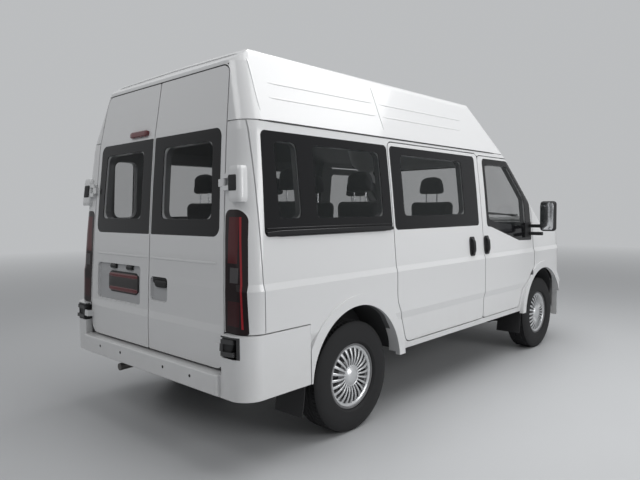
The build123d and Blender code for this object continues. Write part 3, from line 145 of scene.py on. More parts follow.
def circle(radius, steps):
    """Profile that is a circle."""
    angle = round_circle(steps)
    return np.stack([np.cos(angle), np.sin(angle)], 1) * radius


def end_scale(distance, run, least):
    """Scale that rises on a quarter circle from least at an end to 1 at a distance of run from it."""
    share = np.clip(distance / run, 0, 1)
    return least + (1 - least) * np.sqrt(1 - (1 - share) ** 2)


def pill(width, height, steps=5, radius=None):
    """Rounded rectangle profile: quarter circles of radius at the corners of a width x height box."""
    radius = min(width, height) * 0.3 if radius is None else radius
    turn = np.linspace(0, math.pi / 2, steps)
    corner = np.stack([np.cos(turn), np.sin(turn)], 1) * radius
    sides = [(1, 1, 0), (-1, 1, 1), (-1, -1, 2), (1, -1, 3)]
    loops = []
    for sx, sy, quarter in sides:
        a = quarter * math.pi / 2
        spin = np.array([[math.cos(a), math.sin(a)], [-math.sin(a), math.cos(a)]])
        loops.append(corner @ spin + [sx * (width / 2 - radius), sy * (height / 2 - radius)])
    return np.vstack(loops)


def outward(piece):
    """Merge doubles and point every face outwards."""
    work = bmesh.new()
    work.from_mesh(piece.data)
    bmesh.ops.remove_doubles(work, verts=work.verts, dist=1e-5)
    bmesh.ops.recalc_face_normals(work, faces=work.faces)
    work.to_mesh(piece.data)
    work.free()
    return piece


def add(name, parts, body, material, replaces=(), crease=35):
    """Make a piece from (points, faces), give it its material, body and slot, and print its size."""
    piece = outward(mesh_piece(name, *parts, crease=crease))
    piece.data.materials.append(material)
    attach(piece, body)
    if replaces:
        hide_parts(*replaces)
    print(name, "rides on", body, "with", len(piece.data.polygons), "faces")
    return piece


# %% [markdown]
# ## The form of the body, as numbers
# Trim has to lie on the side walls, which lean in above the belt. The walls are straight between a
# few heights, so their half width and the place of the rear face are interpolated from a short
# table. A strip of trim can then follow the wall at any height.

# %% Table of the body's form
HEIGHTS = np.array([0.435, 0.500, 0.655, 0.705, 0.985, 1.022, 1.265, 1.560, 1.842, 1.893, 2.235, 2.420])
HALF = np.array([0.955, 0.965, 0.971, 0.985, 0.985, 0.973, 0.955, 0.928, 0.897, 0.888, 0.759, 0.685])
REAR = np.array([0.884, 0.888, 0.890, 0.890, 0.878, 0.875, 0.862, 0.839, 0.813, 0.806, 0.747, 0.690])


def wall_x(z):
    """Half width of the body at height z."""
    return np.interp(z, HEIGHTS, HALF)


def rear_y(z):
    """Rear face of the body at height z."""
    return REAR_AXLE + np.interp(z, HEIGHTS, REAR)


print("half width at the belt", float(wall_x(1.265)))

# %% [markdown]
# ## Laying trim on the panels
# Where a panel is rounded, as the roof is, a table is too coarse. There a ray is cast at the CAD
# panel from outside, and the point and the outward direction where it lands carry the trim, as a
# fitter would lay a strip on the real panel.

# %% Rays onto the panels
def skin(name):
    """Search tree over the triangles of a CAD node."""
    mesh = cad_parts[name].data
    mesh.calc_loop_triangles()
    triangles = np.empty(len(mesh.loop_triangles) * 3, int)
    mesh.loop_triangles.foreach_get("vertices", triangles)
    return BVHTree.FromPolygons(points_of(mesh).tolist(), triangles.reshape(-1, 3).tolist())


def landed(tree, starts, directions):
    """Points and outward directions where rays meet the tree; a ray that misses is left out."""
    starts, directions = np.broadcast_arrays(np.asarray(starts, float), np.asarray(directions, float))
    hits = [tree.ray_cast(start, way) for start, way in zip(starts.tolist(), directions.tolist())]
    hits = [hit for hit in hits if hit[0] is not None]
    return np.array([tuple(hit[0]) for hit in hits]), np.array([tuple(hit[1]) for hit in hits])


def eased(values, times=3):
    """Running mean of neighbours (1, 2, 1) / 4 along a path, its ends kept."""
    values = values.copy()
    for _ in range(times):
        values[1:-1] = (values[:-2] + 2 * values[1:-1] + values[2:]) / 4
    return values


ROOF = skin("roof_cap")
print("the roof's crown is at", round(float(landed(ROOF, [[0, 0, 4]], [0, 0, -1])[0][0, 2]), 3))

# %% [markdown]
# ## Finishes
# Every finish is a small node tree. The base colour wanders a little on a slow noise, roughness
# wanders with it, and a fine noise drives the bump, so nothing looks like one flat colour. All
# patterns read Object coordinates, so they stay with the piece when a door swings.

# %% Helpers for finishes
def feed(owner, value, socket):
    """Put a number or colour on a socket, or link another socket to it."""
    if isinstance(value, bpy.types.NodeSocket):
        owner.node_tree.links.new(value, socket)
    else:
        socket.default_value = value


def add_node(owner, kind, setting=None, **values):
    """New shader node; setting is (property, value), and values go to inputs, with _ for a space in the name."""
    made = owner.node_tree.nodes.new("ShaderNode" + kind)
    if setting:
        setattr(made, *setting)
    for name, value in values.items():
        feed(owner, value, made.inputs[name.replace("_", " ")])
    return made


def bumped(material, height, strength, distance):
    """Raise the surface by distance where height is 1, on top of any bump it has."""
    normal = material.node_tree.nodes["Principled BSDF"].inputs["Normal"]
    bump = add_node(material, "Bump", Strength=strength, Distance=distance, Height=height)
    if normal.links:
        feed(material, normal.links[0].from_socket, bump.inputs["Normal"])
    feed(material, bump.outputs[0], normal)


GRAIN_DEPTH = 0.0008


def finish(name, colour, roughness, metallic=0.0, coat=0.0, spread=0.06, size=6.0, grain=0.0, grain_size=400.0,
           rough_spread=0.06, sheen=0.0, gloss=0.5):
    """Material whose colour is colour * (1 +- spread * noise), with bumped grain."""
    material = bpy.data.materials.new(name)
    material.use_nodes = True
    shader = material.node_tree.nodes["Principled BSDF"]
    place = add_node(material, "TexCoord").outputs["Object"]
    slow = add_node(material, "TexNoise", Scale=size, Detail=4, Vector=place).outputs["Fac"]
    dark, light = ([min(1, c * share) for c in colour] + [1] for share in (1 - spread, 1 + spread))
    tint = add_node(material, "Mix", ("data_type", "RGBA"), A=dark, B=light, Factor=slow)
    feed(material, tint.outputs["Result"], shader.inputs["Base Color"])
    rough = add_node(material, "MapRange", To_Min=max(0.0, roughness - rough_spread),
                 To_Max=min(1.0, roughness + rough_spread), Value=slow)
    feed(material, rough.outputs[0], shader.inputs["Roughness"])
    if grain:
        fine = add_node(material, "TexNoise", Scale=grain_size, Detail=2, Vector=place)
        bumped(material, fine.outputs["Fac"], grain, GRAIN_DEPTH)
    for name, value in (("Metallic", metallic), ("Coat Weight", coat), ("Coat Roughness", 0.05),
                        ("Sheen Weight", sheen), ("Specular IOR Level", gloss)):
        shader.inputs[name].default_value = value
    return material


# %% [markdown]
# ## Reckoning inside a finish
# Some finishes change with place: a lamp has chambers, a pane has a printed border and a panel is
# trimmed inside and painted outside. Object coordinates and a few Math nodes can say where a point
# is, so these helpers write such sums in one line each.

# %% Helpers for sums in a finish
def reckoner(owner):
    """Function calc(kind, a, b, c) that adds a Math node on sockets or numbers and returns its output."""
    def calc(kind, *values):
        """One Math node."""
        made = add_node(owner, "Math", ("operation", kind))
        for value, socket in zip(values, made.inputs):
            feed(owner, value, socket)
        return made.outputs[0]

    return calc


def coordinates(owner):
    """Sockets x, y and z of the Object coordinates."""
    split = add_node(owner, "SeparateXYZ", Vector=add_node(owner, "TexCoord").outputs["Object"])
    return split.outputs["X"], split.outputs["Y"], split.outputs["Z"]


def drawn_finish(*values, **more):
    """A finish with what a pattern that goes by place needs: its calc and its x, y and z."""
    material = finish(*values, **more)
    return material, reckoner(material), *coordinates(material)


def every(calc, *masks):
    """Product of masks: 1 where all of them are."""
    whole = masks[0]
    for mask in masks[1:]:
        whole = calc("MULTIPLY", whole, mask)
    return whole


def within(calc, value, low, high):
    """1 where low < value < high, otherwise 0."""
    return calc("MULTIPLY", calc("GREATER_THAN", value, low), calc("LESS_THAN", value, high))


def in_box(calc, a, b, low_a, high_a, low_b, high_b):
    """1 where a and b are both between their limits, otherwise 0."""
    return every(calc, within(calc, a, low_a, high_a), within(calc, b, low_b, high_b))


def clamped(calc, value, low, high):
    """Value kept between low and high."""
    return calc("MINIMUM", calc("MAXIMUM", value, low), high)


def hypotenuse(calc, a, b):
    """Square root of a * a + b * b."""
    return calc("SQRT", calc("ADD", calc("MULTIPLY", a, a), calc("MULTIPLY", b, b)))


def inked(material, mask, colour):
    """Lay colour over the base colour where mask is 1."""
    base = material.node_tree.nodes["Principled BSDF"].inputs["Base Color"]
    mix = add_node(material, "Mix", ("data_type", "RGBA"), A=base.links[0].from_socket, B=(*colour, 1), Factor=mask)
    feed(material, mix.outputs["Result"], base)


def blend_shaders(owner, share, first, second, end="Material Output"):
    """Let the output end show the second shader where share is 1, and the first where it is 0."""
    mix = add_node(owner, "MixShader")
    for value, socket in zip((share, first, second), mix.inputs):
        feed(owner, value, socket)
    feed(owner, mix.outputs[0], owner.node_tree.nodes[end].inputs["Surface"])


def by_height(material, z, heights, values, low=0.4, high=2.5):
    """Socket that runs linearly through values at heights: a colour ramp used as a table."""
    along = add_node(material, "MapRange", From_Min=low, From_Max=high, Value=z)
    ramp = add_node(material, "ValToRGB", Fac=along.outputs[0])
    for number, (height, value) in enumerate(zip(heights, values)):
        position = (float(height) - low) / (high - low)
        stop = ramp.color_ramp.elements[number] if number < 2 else ramp.color_ramp.elements.new(position)
        stop.position, stop.color = position, (float(value),) * 3 + (1,)
    return ramp.outputs[0]


# %% [markdown]
# ## Paint
# The body is white with a clear coat. The paint turns a little greyer, in a mottled noise, low
# on the sills under the doors, and the floors of the recesses in the rear doors are greyed as
# painted shade. Inside, the same panels are trimmed in grey plastic: a point is inside where its
# distance to the corner of the body's plan is well under the corner's radius.
# The doors have a pressed ledge low down, which a bump that rises with height stands for.

# %% Paint, greyer low down, with painted shade in the recesses and trim inside
CORNER = 0.112              # radius of the body's corners in plan
WALL = 0.017                # thickness of the outer skin that is painted
ROOF_FALL = 0.69            # how far the roof's end falls a metre towards the rear
RECESS_DEPTH = (0.012, 0.0165)


def body_paint():
    """White coat, greyer low down, painted shade in the recesses; grey where the distance to the corner's centre is
    under CORNER - WALL.
    """
    material, calc, x, y, z = drawn_finish("white_coat", (0.72, 0.725, 0.73), 0.28, coat=0.5, spread=0.004, size=40,
                                           grain=0.03, grain_size=260, rough_spread=0.01)
    wide = calc("ABSOLUTE", x)
    behind_axle = calc("SUBTRACT", y, REAR_AXLE)
    place = add_node(material, "TexCoord").outputs["Object"]
    speck = add_node(material, "TexNoise", Scale=9, Detail=8, Vector=place).outputs["Fac"]
    # Greyer low down: a mottled grey is mixed in below z = 0.72 m, more the lower the point.
    low_down = clamped(calc, calc("MULTIPLY_ADD", z, -1.2, 0.864), 0.0, 0.5)
    inked(material, calc("MULTIPLY", low_down, speck), (0.50, 0.49, 0.47))
    half = by_height(material, z, HEIGHTS, HALF)
    rear = by_height(material, z, HEIGHTS, REAR)
    over_x = calc("MAXIMUM", calc("ADD", calc("SUBTRACT", wide, half), CORNER), 0.0)
    over_y = calc("MAXIMUM", calc("ADD", calc("SUBTRACT", behind_axle, rear), CORNER), 0.0)
    front = by_height(material, z, (0.5, 1.50, 1.885, 2.345), (0.5435, 0.58, 1.30, 1.76))
    roof_end = calc("MULTIPLY_ADD", behind_axle, ROOF_FALL, z)
    inside = every(calc, calc("LESS_THAN", hypotenuse(calc, over_x, over_y), CORNER - WALL),
                   within(calc, z, 0.60, 2.285), calc("GREATER_THAN", calc("ADD", y, 2.0), front),
                   calc("LESS_THAN", roof_end, 2.364 + ROOF_FALL * 0.56 - 0.045))
    inked(material, inside, (0.115, 0.117, 0.122))
    # Painted shade: the floors of the plate and handle recesses are greyed, though they are white like the doors.
    plate_recess = in_box(calc, x, z, 0.106, 0.680, 0.808, 1.056)
    handle_recess = in_box(calc, x, z, -0.210, -0.024, 0.858, 1.004)
    sunk = within(calc, calc("SUBTRACT", rear, behind_axle), *RECESS_DEPTH)
    recess = every(calc, sunk, calc("MAXIMUM", plate_recess, handle_recess))
    inked(material, recess, (0.42, 0.425, 0.435))
    at_hinge = every(calc, in_box(calc, z, wide, 0.636, 0.752, 0.79, 0.93), calc("GREATER_THAN", behind_axle, 0.893))
    inked(material, at_hinge, (0.02, 0.02, 0.021))
    ledge = every(calc, clamped(calc, calc("MULTIPLY_ADD", z, -22.0, 17.4), 0.0, 1.0),
                  calc("LESS_THAN", wide, 0.76), calc("GREATER_THAN", behind_axle, 0.86))
    bumped(material, ledge, 1.0, 0.010)
    return material


WHITE = body_paint()
BLACK = finish("black_grained_plastic", (0.018, 0.018, 0.019), 0.5, spread=0.15, grain=0.35, grain_size=700,
               gloss=0.3)
GLOSS_BLACK = finish("gloss_black", (0.010, 0.010, 0.011), 0.14, spread=0.1, gloss=0.4)
RUBBER = finish("tyre_rubber", (0.017, 0.017, 0.018), 0.75, spread=0.25, size=14, grain=0.3, grain_size=500,
                gloss=0.3)
# Black rubber: the mud flaps' own colour, and painted shade for the dark strips along the gutters and over the rear
# doors.
RUBBER_AND_SHADE = finish("rubber_and_painted_shade", (0.015, 0.015, 0.016), 0.6, spread=0.15, grain=0.2)
SILVER = finish("wheel_silver", (0.60, 0.61, 0.62), 0.32, metallic=0.65, coat=0.3, spread=0.05, grain=0.05)
STEEL = finish("wheel_steel", (0.20, 0.20, 0.205), 0.45, metallic=0.7, spread=0.15, grain=0.2)
UNDERBODY = finish("underseal", (0.035, 0.035, 0.037), 0.75, spread=0.3, size=12, grain=0.6, grain_size=220)
IRON = finish("chassis_black", (0.045, 0.044, 0.042), 0.6, metallic=0.3, spread=0.3, size=18, grain=0.4,
              grain_size=260)
CAST = finish("engine_alloy", (0.22, 0.22, 0.215), 0.55, metallic=0.6, spread=0.2, size=14, grain=0.5,
              grain_size=300)
PIPE = finish("exhaust_metal", (0.12, 0.115, 0.11), 0.42, metallic=0.85, spread=0.25, size=10, grain=0.2)
CABIN = finish("cabin_plastic", (0.055, 0.056, 0.06), 0.58, spread=0.12, grain=0.45, grain_size=520)
CHROME = finish("reflector_chrome", (0.75, 0.76, 0.78), 0.12, metallic=1.0, spread=0.04)
LAMP_RED = finish("lamp_red", (0.12, 0.008, 0.012), 0.10, coat=0.5, spread=0.2, size=30)
PLATE = finish("plate_blank", (0.030, 0.026, 0.026), 0.35, spread=0.15, size=12, grain=0.1)
print(len(bpy.data.materials), "finishes")

# %% [markdown]
# ## Glass with a black border
# A bonded pane has a black printed border that hides the glue. Paint on a separate ring would
# need its own thickness, so the border is part of the pane's material: the clear area is a
# rounded polygon, and a point is clear where its signed distance to that polygon is negative. The
# distance is the smooth maximum over the polygon's edges of normal . point - offset.

# %% Material for panes
EDGE_BLUR = 0.0015          # half the width over which the printed border fades
CORNER_BLEND = 0.06         # how far the smooth maximum rounds a window's corners


def border(material_name, windows, first, tint, alpha):
    """Pane with a black border outside windows: lists of corners, counter-clockwise, on axes (first, Z)."""
    material, calc, x, y, z = drawn_finish(material_name, (0.007, 0.007, 0.008), 0.10, spread=0.1, gloss=0.28)
    clear = add_node(material, "BsdfPrincipled", Base_Color=(*tint, 1), Roughness=0.03, Alpha=alpha)
    along = calc("ABSOLUTE", x) if first == "X" else y
    nearest = None
    for corners in windows:
        corners = np.asarray(corners, float)
        run = np.roll(corners, -1, 0) - corners
        run /= np.linalg.norm(run, axis=1)[:, None]
        normal = np.stack([run[:, 1], -run[:, 0]], 1)
        offset = (normal * corners).sum(1)
        inside = None
        for (n0, n1), c in zip(normal.tolist(), offset.tolist()):
            edge = calc("SUBTRACT", calc("MULTIPLY_ADD", z, n1, calc("MULTIPLY", along, n0)), c)
            inside = edge if inside is None else calc("SMOOTH_MAX", inside, edge, CORNER_BLEND)
        nearest = inside if nearest is None else calc("MINIMUM", nearest, inside)
    mask = add_node(material, "MapRange", From_Min=-EDGE_BLUR, From_Max=EDGE_BLUR, Value=nearest)
    printed = material.node_tree.nodes["Principled BSDF"]
    blend_shaders(material, mask.outputs[0], clear.outputs[0], printed.outputs[0])
    return material


def behind(*points):
    """Corners given behind the rear axle, as places along Y."""
    return [(REAR_AXLE + y, z) for y, z in points]


def window(y0, y1, z0=1.362, z1=1.786):
    """Corners of a level window."""
    return behind((y0, z0), (y1, z0), (y1, z1), (y0, z1))


TINT = (0.02, 0.024, 0.024)
SIDE_PANE = border("side_pane", [window(0.461, 0.632), window(-0.312, 0.331), window(-1.404, -0.556)],
                   "Y", TINT, 0.24)
REAR_PANE = border("rear_pane", [[(0.122, 1.362), (0.632, 1.362), (0.610, 1.796), (0.118, 1.796)]], "X", TINT, 0.12)
FRONT_PANE = border("front_pane", [behind((-2.56, 1.15), (-2.39, 1.158), (-1.88, 1.29), (-1.812, 1.296),
                                          (-1.812, 1.786), (-2.245, 1.786), (-2.56, 1.49))], "Y", TINT, 0.2)
SCREEN = border("windscreen_pane", [[(-1.0, 1.31), (0.80, 1.31), (0.742, 1.83), (-1.0, 1.83)]], "X", TINT, 0.14)
print("four kinds of pane")

# %% [markdown]
# ## Dressing the CAD pieces
# Most panels are already the right shape, so they only get their finish. The lamps are single
# lenses in CAD, so the chambers and reflectors behind them are drawn by place in their finish.

# %% Finishes on the CAD nodes
def lamp_chambers():
    """Nearly black lens: red chambers above and below, a grey one for reversing and a thin red line up the corner,
    which is a painted highlight.
    """
    material, calc, x, _, z = drawn_finish("tail_lamp_lens", (0.013, 0.005, 0.006), 0.08, spread=0.25, size=20,
                                           gloss=0.35)
    wide = calc("ABSOLUTE", x)
    leaning = calc("ADD", wide, calc("MULTIPLY", z, 0.073))
    for across, limits, colour in (
            (wide, (0.79, 0.868, 1.13, 1.375), (0.085, 0.007, 0.010)),
            (wide, (0.80, 0.895, 0.80, 0.93), (0.040, 0.006, 0.008)),
            (wide, (0.811, 0.877, 1.027, 1.108), (0.085, 0.080, 0.082)),
            # Painted highlight: the thin bright red line that leans up the corner.
            (leaning, (0.968, 0.9795, 0.79, 1.375), (0.36, 0.018, 0.026))):
        inked(material, in_box(calc, across, z, *limits), colour)
    return material


def headlamp_chambers():
    """Silvered lens with two round reflectors and an amber corner: rings where the distance to a centre is right."""
    material, calc, x, _, z = drawn_finish("headlamp_lens", (0.42, 0.43, 0.45), 0.08, metallic=0.25, coat=0.8,
                                           spread=0.3, size=16)
    wide = calc("ABSOLUTE", x)
    inked(material, within(calc, wide, 0.835, 0.915), (0.33, 0.12, 0.02))
    for centre, height, radius in ((0.575, 0.795, 0.075), (0.735, 0.815, 0.070)):
        away = hypotenuse(calc, calc("SUBTRACT", wide, centre), calc("SUBTRACT", z, height))
        inked(material, calc("LESS_THAN", away, radius), (0.75, 0.76, 0.78))
        inked(material, within(calc, away, radius - 0.006, radius + 0.004), (0.06, 0.06, 0.065))
        inked(material, calc("LESS_THAN", away, radius * 0.4), (0.25, 0.26, 0.28))
    return material


def pairs(*names):
    """Names of nodes that come as a left one and a right one."""
    return tuple(f"{name}_{side_name}" for name in names for side_name, _ in SIDES)


DRESS = {
    WHITE: ("side_panels", "sliding_door", "roof_cap", "rear_frame", "cab_frame", "front_wings", "bonnet",
            "front_bumper", "rear_bumper", *pairs("rear_door", "front_door")),
    SIDE_PANE: ("side_glass",),
    REAR_PANE: pairs("rear_door_glass"),
    FRONT_PANE: pairs("front_door_glass"),
    SCREEN: ("windscreen",),
    UNDERBODY: ("floor_pan", "wheelhouses"),
    BLACK: ("grille", "fuel_tank", *pairs("mirror")),
    headlamp_chambers(): ("headlamps",),
    lamp_chambers(): ("tail_lamps",),
    CABIN: ("dashboard", "steering_wheel"),
    CAST: ("engine",),
    IRON: ("rear_axle", "front_subframe", *pairs("knuckle")),
    PIPE: ("exhaust",),
    STEEL: pairs("front_rim", "rear_rim"),
}
for material, names in DRESS.items():
    for name in names:
        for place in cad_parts[name].material_slots:
            place.material = material
print(sum(len(n) for n in DRESS.values()), "nodes dressed")

# %% [markdown]
# ## Tyres
# A tyre is a profile turned about the axle. The tread is cut into the same surface: the radius
# drops where a point lies in one of four grooves round the tyre or in the slanted slots across
# the shoulders, both found from the angle and the place across the tread.

# %% Tyres with their tread
WHEEL_RADIUS = 0.352
RIM_RADIUS = 0.2085
TREAD_HALF = 0.0755         # half the width of the tread
PITCHES = 72                # blocks round the tyre


def tyre_parts(centre_x, centre_y, side):
    """Radius = profile - groove depth * (round grooves or shoulder slots); x across, angle round."""
    wall_across = np.array([-0.086, -0.097, -0.1015, -0.0995, -0.093, -0.084, -0.079])
    wall_out = np.array([RIM_RADIUS, 0.222, 0.262, 0.300, 0.330, 0.345, 0.3495])
    tread = np.linspace(-TREAD_HALF, TREAD_HALF, 33)
    crown = WHEEL_RADIUS - 0.0022 * (tread / TREAD_HALF) ** 2
    x = np.concatenate([wall_across, tread, -wall_across[::-1], [0.070, -0.070]])
    r = np.concatenate([wall_out, crown, wall_out[::-1], [RIM_RADIUS + 0.004] * 2])
    turns = 288
    x_all = np.broadcast_to(x, (turns, len(x)))
    r_all = np.broadcast_to(r, (turns, len(x))).copy()
    a_all = np.broadcast_to(round_circle(turns)[:, None], r_all.shape)
    on_tread = (np.abs(x_all) < TREAD_HALF + 0.001) & (r_all > 0.34)
    rings = np.min(np.abs(x_all[..., None] - np.array([-0.045, -0.0165, 0.0165, 0.045])), -1) < 0.0035
    pitch = a_all * PITCHES / (2 * math.pi)
    slots = (np.mod(pitch + np.abs(x_all) * 9 + 0.5 * (x_all > 0), 1.0) < 0.26) & (np.abs(x_all) > 0.048)
    sipes = (np.mod(pitch + x_all * 22, 1.0) < 0.14) & (np.abs(x_all) < 0.045)
    r_all -= on_tread * np.maximum(rings * 0.007, np.maximum(slots * 0.006, sipes * 0.003))
    points = points_at(centre_x + x_all * side, centre_y + r_all * np.cos(a_all),
                       WHEEL_RADIUS + r_all * np.sin(a_all))
    return points.reshape(-1, 3), list(grid_faces(turns, len(x), True, True))


TRACK = sum(c[0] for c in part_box("rear_tyre_left")) / 2
ENDS = (("front", FRONT_AXLE), ("rear", REAR_AXLE))
for side_name, side in SIDES:
    for end, y in ENDS:
        add(f"tyre_{end}_{side_name}", tyre_parts(side * TRACK, y, side), f"{end}_wheel_{side_name}", RUBBER,
            [f"{end}_tyre_{side_name}"], crease=28)

# %% [markdown]
# ## Wheel covers
# The silver cover has two dozen thin fluted spokes between a lip and a plain domed centre, with
# dark gaps between them. One spoke is a tapering profile carried outwards; an array of angles
# turns it into the whole ring. A dark dish behind closes the gaps.

# %% Wheel covers
def turned(profile, centre, side, steps=96):
    """Profile of (x, radius) points turned about the axle; closed where its ends reach the axis."""
    x, r = np.asarray(profile, float).T
    angle = round_circle(steps)[:, None]
    points = points_at(centre[0] + side * x, centre[1] + r * np.cos(angle), centre[2] + r * np.sin(angle))
    return points.reshape(-1, 3), list(grid_faces(steps, len(x), True, True))


def spokes(centre, side, count=24):
    """Radial bars: each runs from radius 0.060 to 0.180 m, widens outwards and bows towards the viewer."""
    t = np.linspace(0, 1, 9)
    bow = 0.071 + 0.012 * np.sin(math.pi * t) - 0.006 * t
    width = 0.0042 + 0.0062 * t
    ring = pill(2.0, 1.0, 3, 0.45)
    angle = round_circle(count)[:, None, None]
    r = (0.060 + 0.120 * t)[:, None]
    sideways = width[:, None] * ring[:, 0]
    points = points_at(centre[0] + side * (bow[:, None] + 0.010 * ring[:, 1]),
                    centre[1] + r * np.cos(angle) - sideways * np.sin(angle),
                    centre[2] + r * np.sin(angle) + sideways * np.cos(angle))
    loop = np.arange(len(ring))
    one = list(grid_faces(len(t), len(ring), wrap_columns=True)) + [loop, loop[::-1] + (len(t) - 1) * len(ring)]
    return joined([(spoke.reshape(-1, 3), one) for spoke in points])


for side_name, side in SIDES:
    for end, y in ENDS:
        hub = (side * TRACK, y, WHEEL_RADIUS)
        lip = turned([(0.058, 0.176), (0.068, 0.175), (0.075, 0.182), (0.077, 0.192), (0.072, 0.203), (0.060, 0.2065),
                      (0.052, 0.2065), (0.054, 0.180)], hub, side)
        dome = turned([(0.066, 0.0), (0.094, 0.0), (0.093, 0.020), (0.090, 0.038), (0.082, 0.052), (0.078, 0.058),
                       (0.080, 0.063), (0.074, 0.070), (0.062, 0.071), (0.060, 0.03)], hub, side)
        add(f"wheel_cover_{end}_{side_name}", joined([lip, dome, spokes(hub, side)]), f"{end}_wheel_{side_name}",
            SILVER, crease=40)
        dish = turned([(0.054, 0.0), (0.0555, 0.0), (0.0565, 0.10), (0.060, 0.183), (0.055, 0.183), (0.053, 0.10)],
                      hub, side)
        add(f"wheel_dish_{end}_{side_name}", dish, f"{end}_wheel_{side_name}", GLOSS_BLACK)

# %% [markdown]
# ## Trim on the sides
# A strip lies on a wall whose lean changes with height. Its path runs along Y at the wall's own
# half width, the profile's first axis follows the wall upwards and its second axis points out of
# it, so the strip never floats.

# %% Strips and handles
def wall_axes(z, reach, side):
    """Directions up and out of a side wall, from its half widths at z - reach and z + reach."""
    lean = math.atan2(float(wall_x(z - reach) - wall_x(z + reach)), 2 * reach)
    return (np.array([-side * math.sin(lean), 0, math.cos(lean)]),
            np.array([side * math.cos(lean), 0, math.sin(lean)]))


def along_wall(y0, y1, z, width, proud, side, radius=None, steps=12, taper=0.02):
    """Rounded strip of that width along the side wall from y0 to y1, standing proud of it."""
    y = np.linspace(y0, y1, steps)
    up, out = wall_axes(z, 0.02, side)
    path = points_at(side * wall_x(z), y, z) + out * (proud / 2 - 0.002)
    scale = end_scale(np.minimum(y - y0, y1 - y), taper, 0.55)
    return carried(path, up, out, pill(width, proud + 0.004, 5, radius), scale)


rail = along_wall(REAR_AXLE - 0.400, REAR_AXLE + 0.735, 1.282, 0.036, 0.014, -1, 0.006)
slot_lip = along_wall(REAR_AXLE - 0.398, REAR_AXLE + 0.733, 1.310, 0.010, 0.010, -1)
add("sliding_rail_cover", joined([rail, slot_lip]), VAN, GLOSS_BLACK)
# Painted shadow: black strips along the gutters stand for the shadow under the roof's edge.
gutter_shadows = [along_wall(REAR_AXLE - 2.02, REAR_AXLE + 0.72, 1.8925, 0.010, 0.003, side, 0.002, 30) for side in (1, -1)]
add("gutter_shadow_strips", joined(gutter_shadows), VAN, RUBBER_AND_SHADE)


def upright_handle(y, z, side):
    """Pull handle: a flat cup with a rounded grip standing upright over it, on the side wall."""
    up, out = wall_axes(z, 0.05, side)
    t = np.linspace(-1, 1, 17)
    base = points_at(side * wall_x(z), y, z)
    cup = base + up * (t * 0.078)[:, None] + out * 0.003
    plate = carried(cup, [0, 1, 0], out, pill(0.088, 0.010, 5, 0.004), 1 - np.abs(t) ** 6 * 0.35)
    grip_path = base + up * (t * 0.064)[:, None] + out * (0.012 + 0.016 * (1 - t ** 4))[:, None] + [0, 0.010, 0]
    grip = carried(grip_path, [0, 1, 0], out, pill(0.034, 0.016, 5, 0.007), 1 - np.abs(t) ** 8 * 0.3)
    return joined([plate, grip])


add("sliding_door_handle", upright_handle(REAR_AXLE - 1.485, 1.10, -1), VAN, BLACK)
for side_name, side in SIDES:
    add(f"front_door_handle_{side_name}", upright_handle(REAR_AXLE - 1.735, 1.10, side), f"front_door_{side_name}",
        BLACK)

# %% [markdown]
# ## The roof's pressed lines
# The high roof is one moulding. Two raised rings run over it from side to side, and two shallow
# lines are pressed along each side. A ring is a flat profile carried along the roof's own
# outline; the lines are carried along Y.

# %% Rings and lines on the roof
def roof_ring(y, slant, width, proud):
    """Band over the roof: rays at 0 to 180 degrees give its path, and its top slants forward by slant."""
    angle = np.radians(np.linspace(-4.5, 184.5, 96))
    ray = points_at(np.cos(angle), 0, np.sin(angle))
    start = np.array([0, y, 1.960]) + ray * 1.6 - [0, slant, 0] * np.abs(np.sin(angle))[:, None]
    points, out = landed(ROOF, start, -ray)
    out = eased(out)
    out /= np.linalg.norm(out, axis=1)[:, None]
    return carried(eased(points) + out * (proud / 2 - 0.003), [0, 1, 0], out, pill(width, proud + 0.006, 4, 0.002))


def roof_line(y0, y1, z0, z1, side):
    """Raised line along the side of the roof, from (y0, z0) to (y1, z1), tapering at its ends."""
    t = np.linspace(0, 1, 40)
    start = points_at(side * 2.0, y0 + (y1 - y0) * t, z0 + (z1 - z0) * t)
    points, out = landed(ROOF, start, [-side, 0, 0])
    scale = 0.4 + 0.6 * np.clip(np.minimum(t, 1 - t) / 0.04, 0, 1)
    up = np.cross(out, [0, 1, 0])
    up /= np.linalg.norm(up, axis=1)[:, None]
    return carried(points - out * 0.0005, up, out, pill(0.013, 0.006, 5, 0.0028), scale)


rings = [roof_ring(REAR_AXLE + 0.690, 0.045, 0.012, 0.003), roof_ring(REAR_AXLE - 0.425, 0.02, 0.012, 0.003)]
lines = [roof_line(REAR_AXLE + y0, REAR_AXLE + y1, z0, z1, side) for side in (1, -1) for y0, y1, z0, z1 in
         ((0.575, -0.385, 2.125, 2.137), (-0.465, -1.600, 2.137, 2.150),
          (0.595, -0.385, 2.035, 2.046), (-0.465, -1.540, 2.046, 2.058))]
add("roof_pressings", joined(rings + lines), VAN, WHITE)

# %% [markdown]
# ## The rear doors' fittings
# Fittings on the rear face follow its lean in the same way as those on the sides: the place is
# interpolated from the table of the body's form. The plate is blank, two small lamps light it
# from above, and the right door has the handle in its recess.

# %% Fittings behind
def on_rear(x0, x1, z, height, proud, sunk=0.0, radius=None, steps=12, taper=0.01):
    """Rounded bar across the rear face from x0 to x1 at height z, standing proud of the face."""
    x = np.linspace(x0, x1, steps)
    lean = math.atan2(float(rear_y(z - 0.03) - rear_y(z + 0.03)), 0.06)
    up, out = np.array([0, -math.sin(lean), math.cos(lean)]), np.array([0, math.cos(lean), math.sin(lean)])
    path = points_at(x, rear_y(z), z) + out * (proud / 2 - 0.002 - sunk)
    scale = end_scale(np.minimum(x - x0, x1 - x), taper, 0.7)
    return carried(path, up, out, pill(height, proud + 0.004, 5, radius), scale)


SUNK = 0.015                # depth of the recesses for the plate and the handle


def in_recess(x0, x1, z, height, proud, radius, steps=12, taper=0.004):
    """Bar on the floor of a recess."""
    return on_rear(x0, x1, z, height, proud, SUNK, radius, steps, taper)


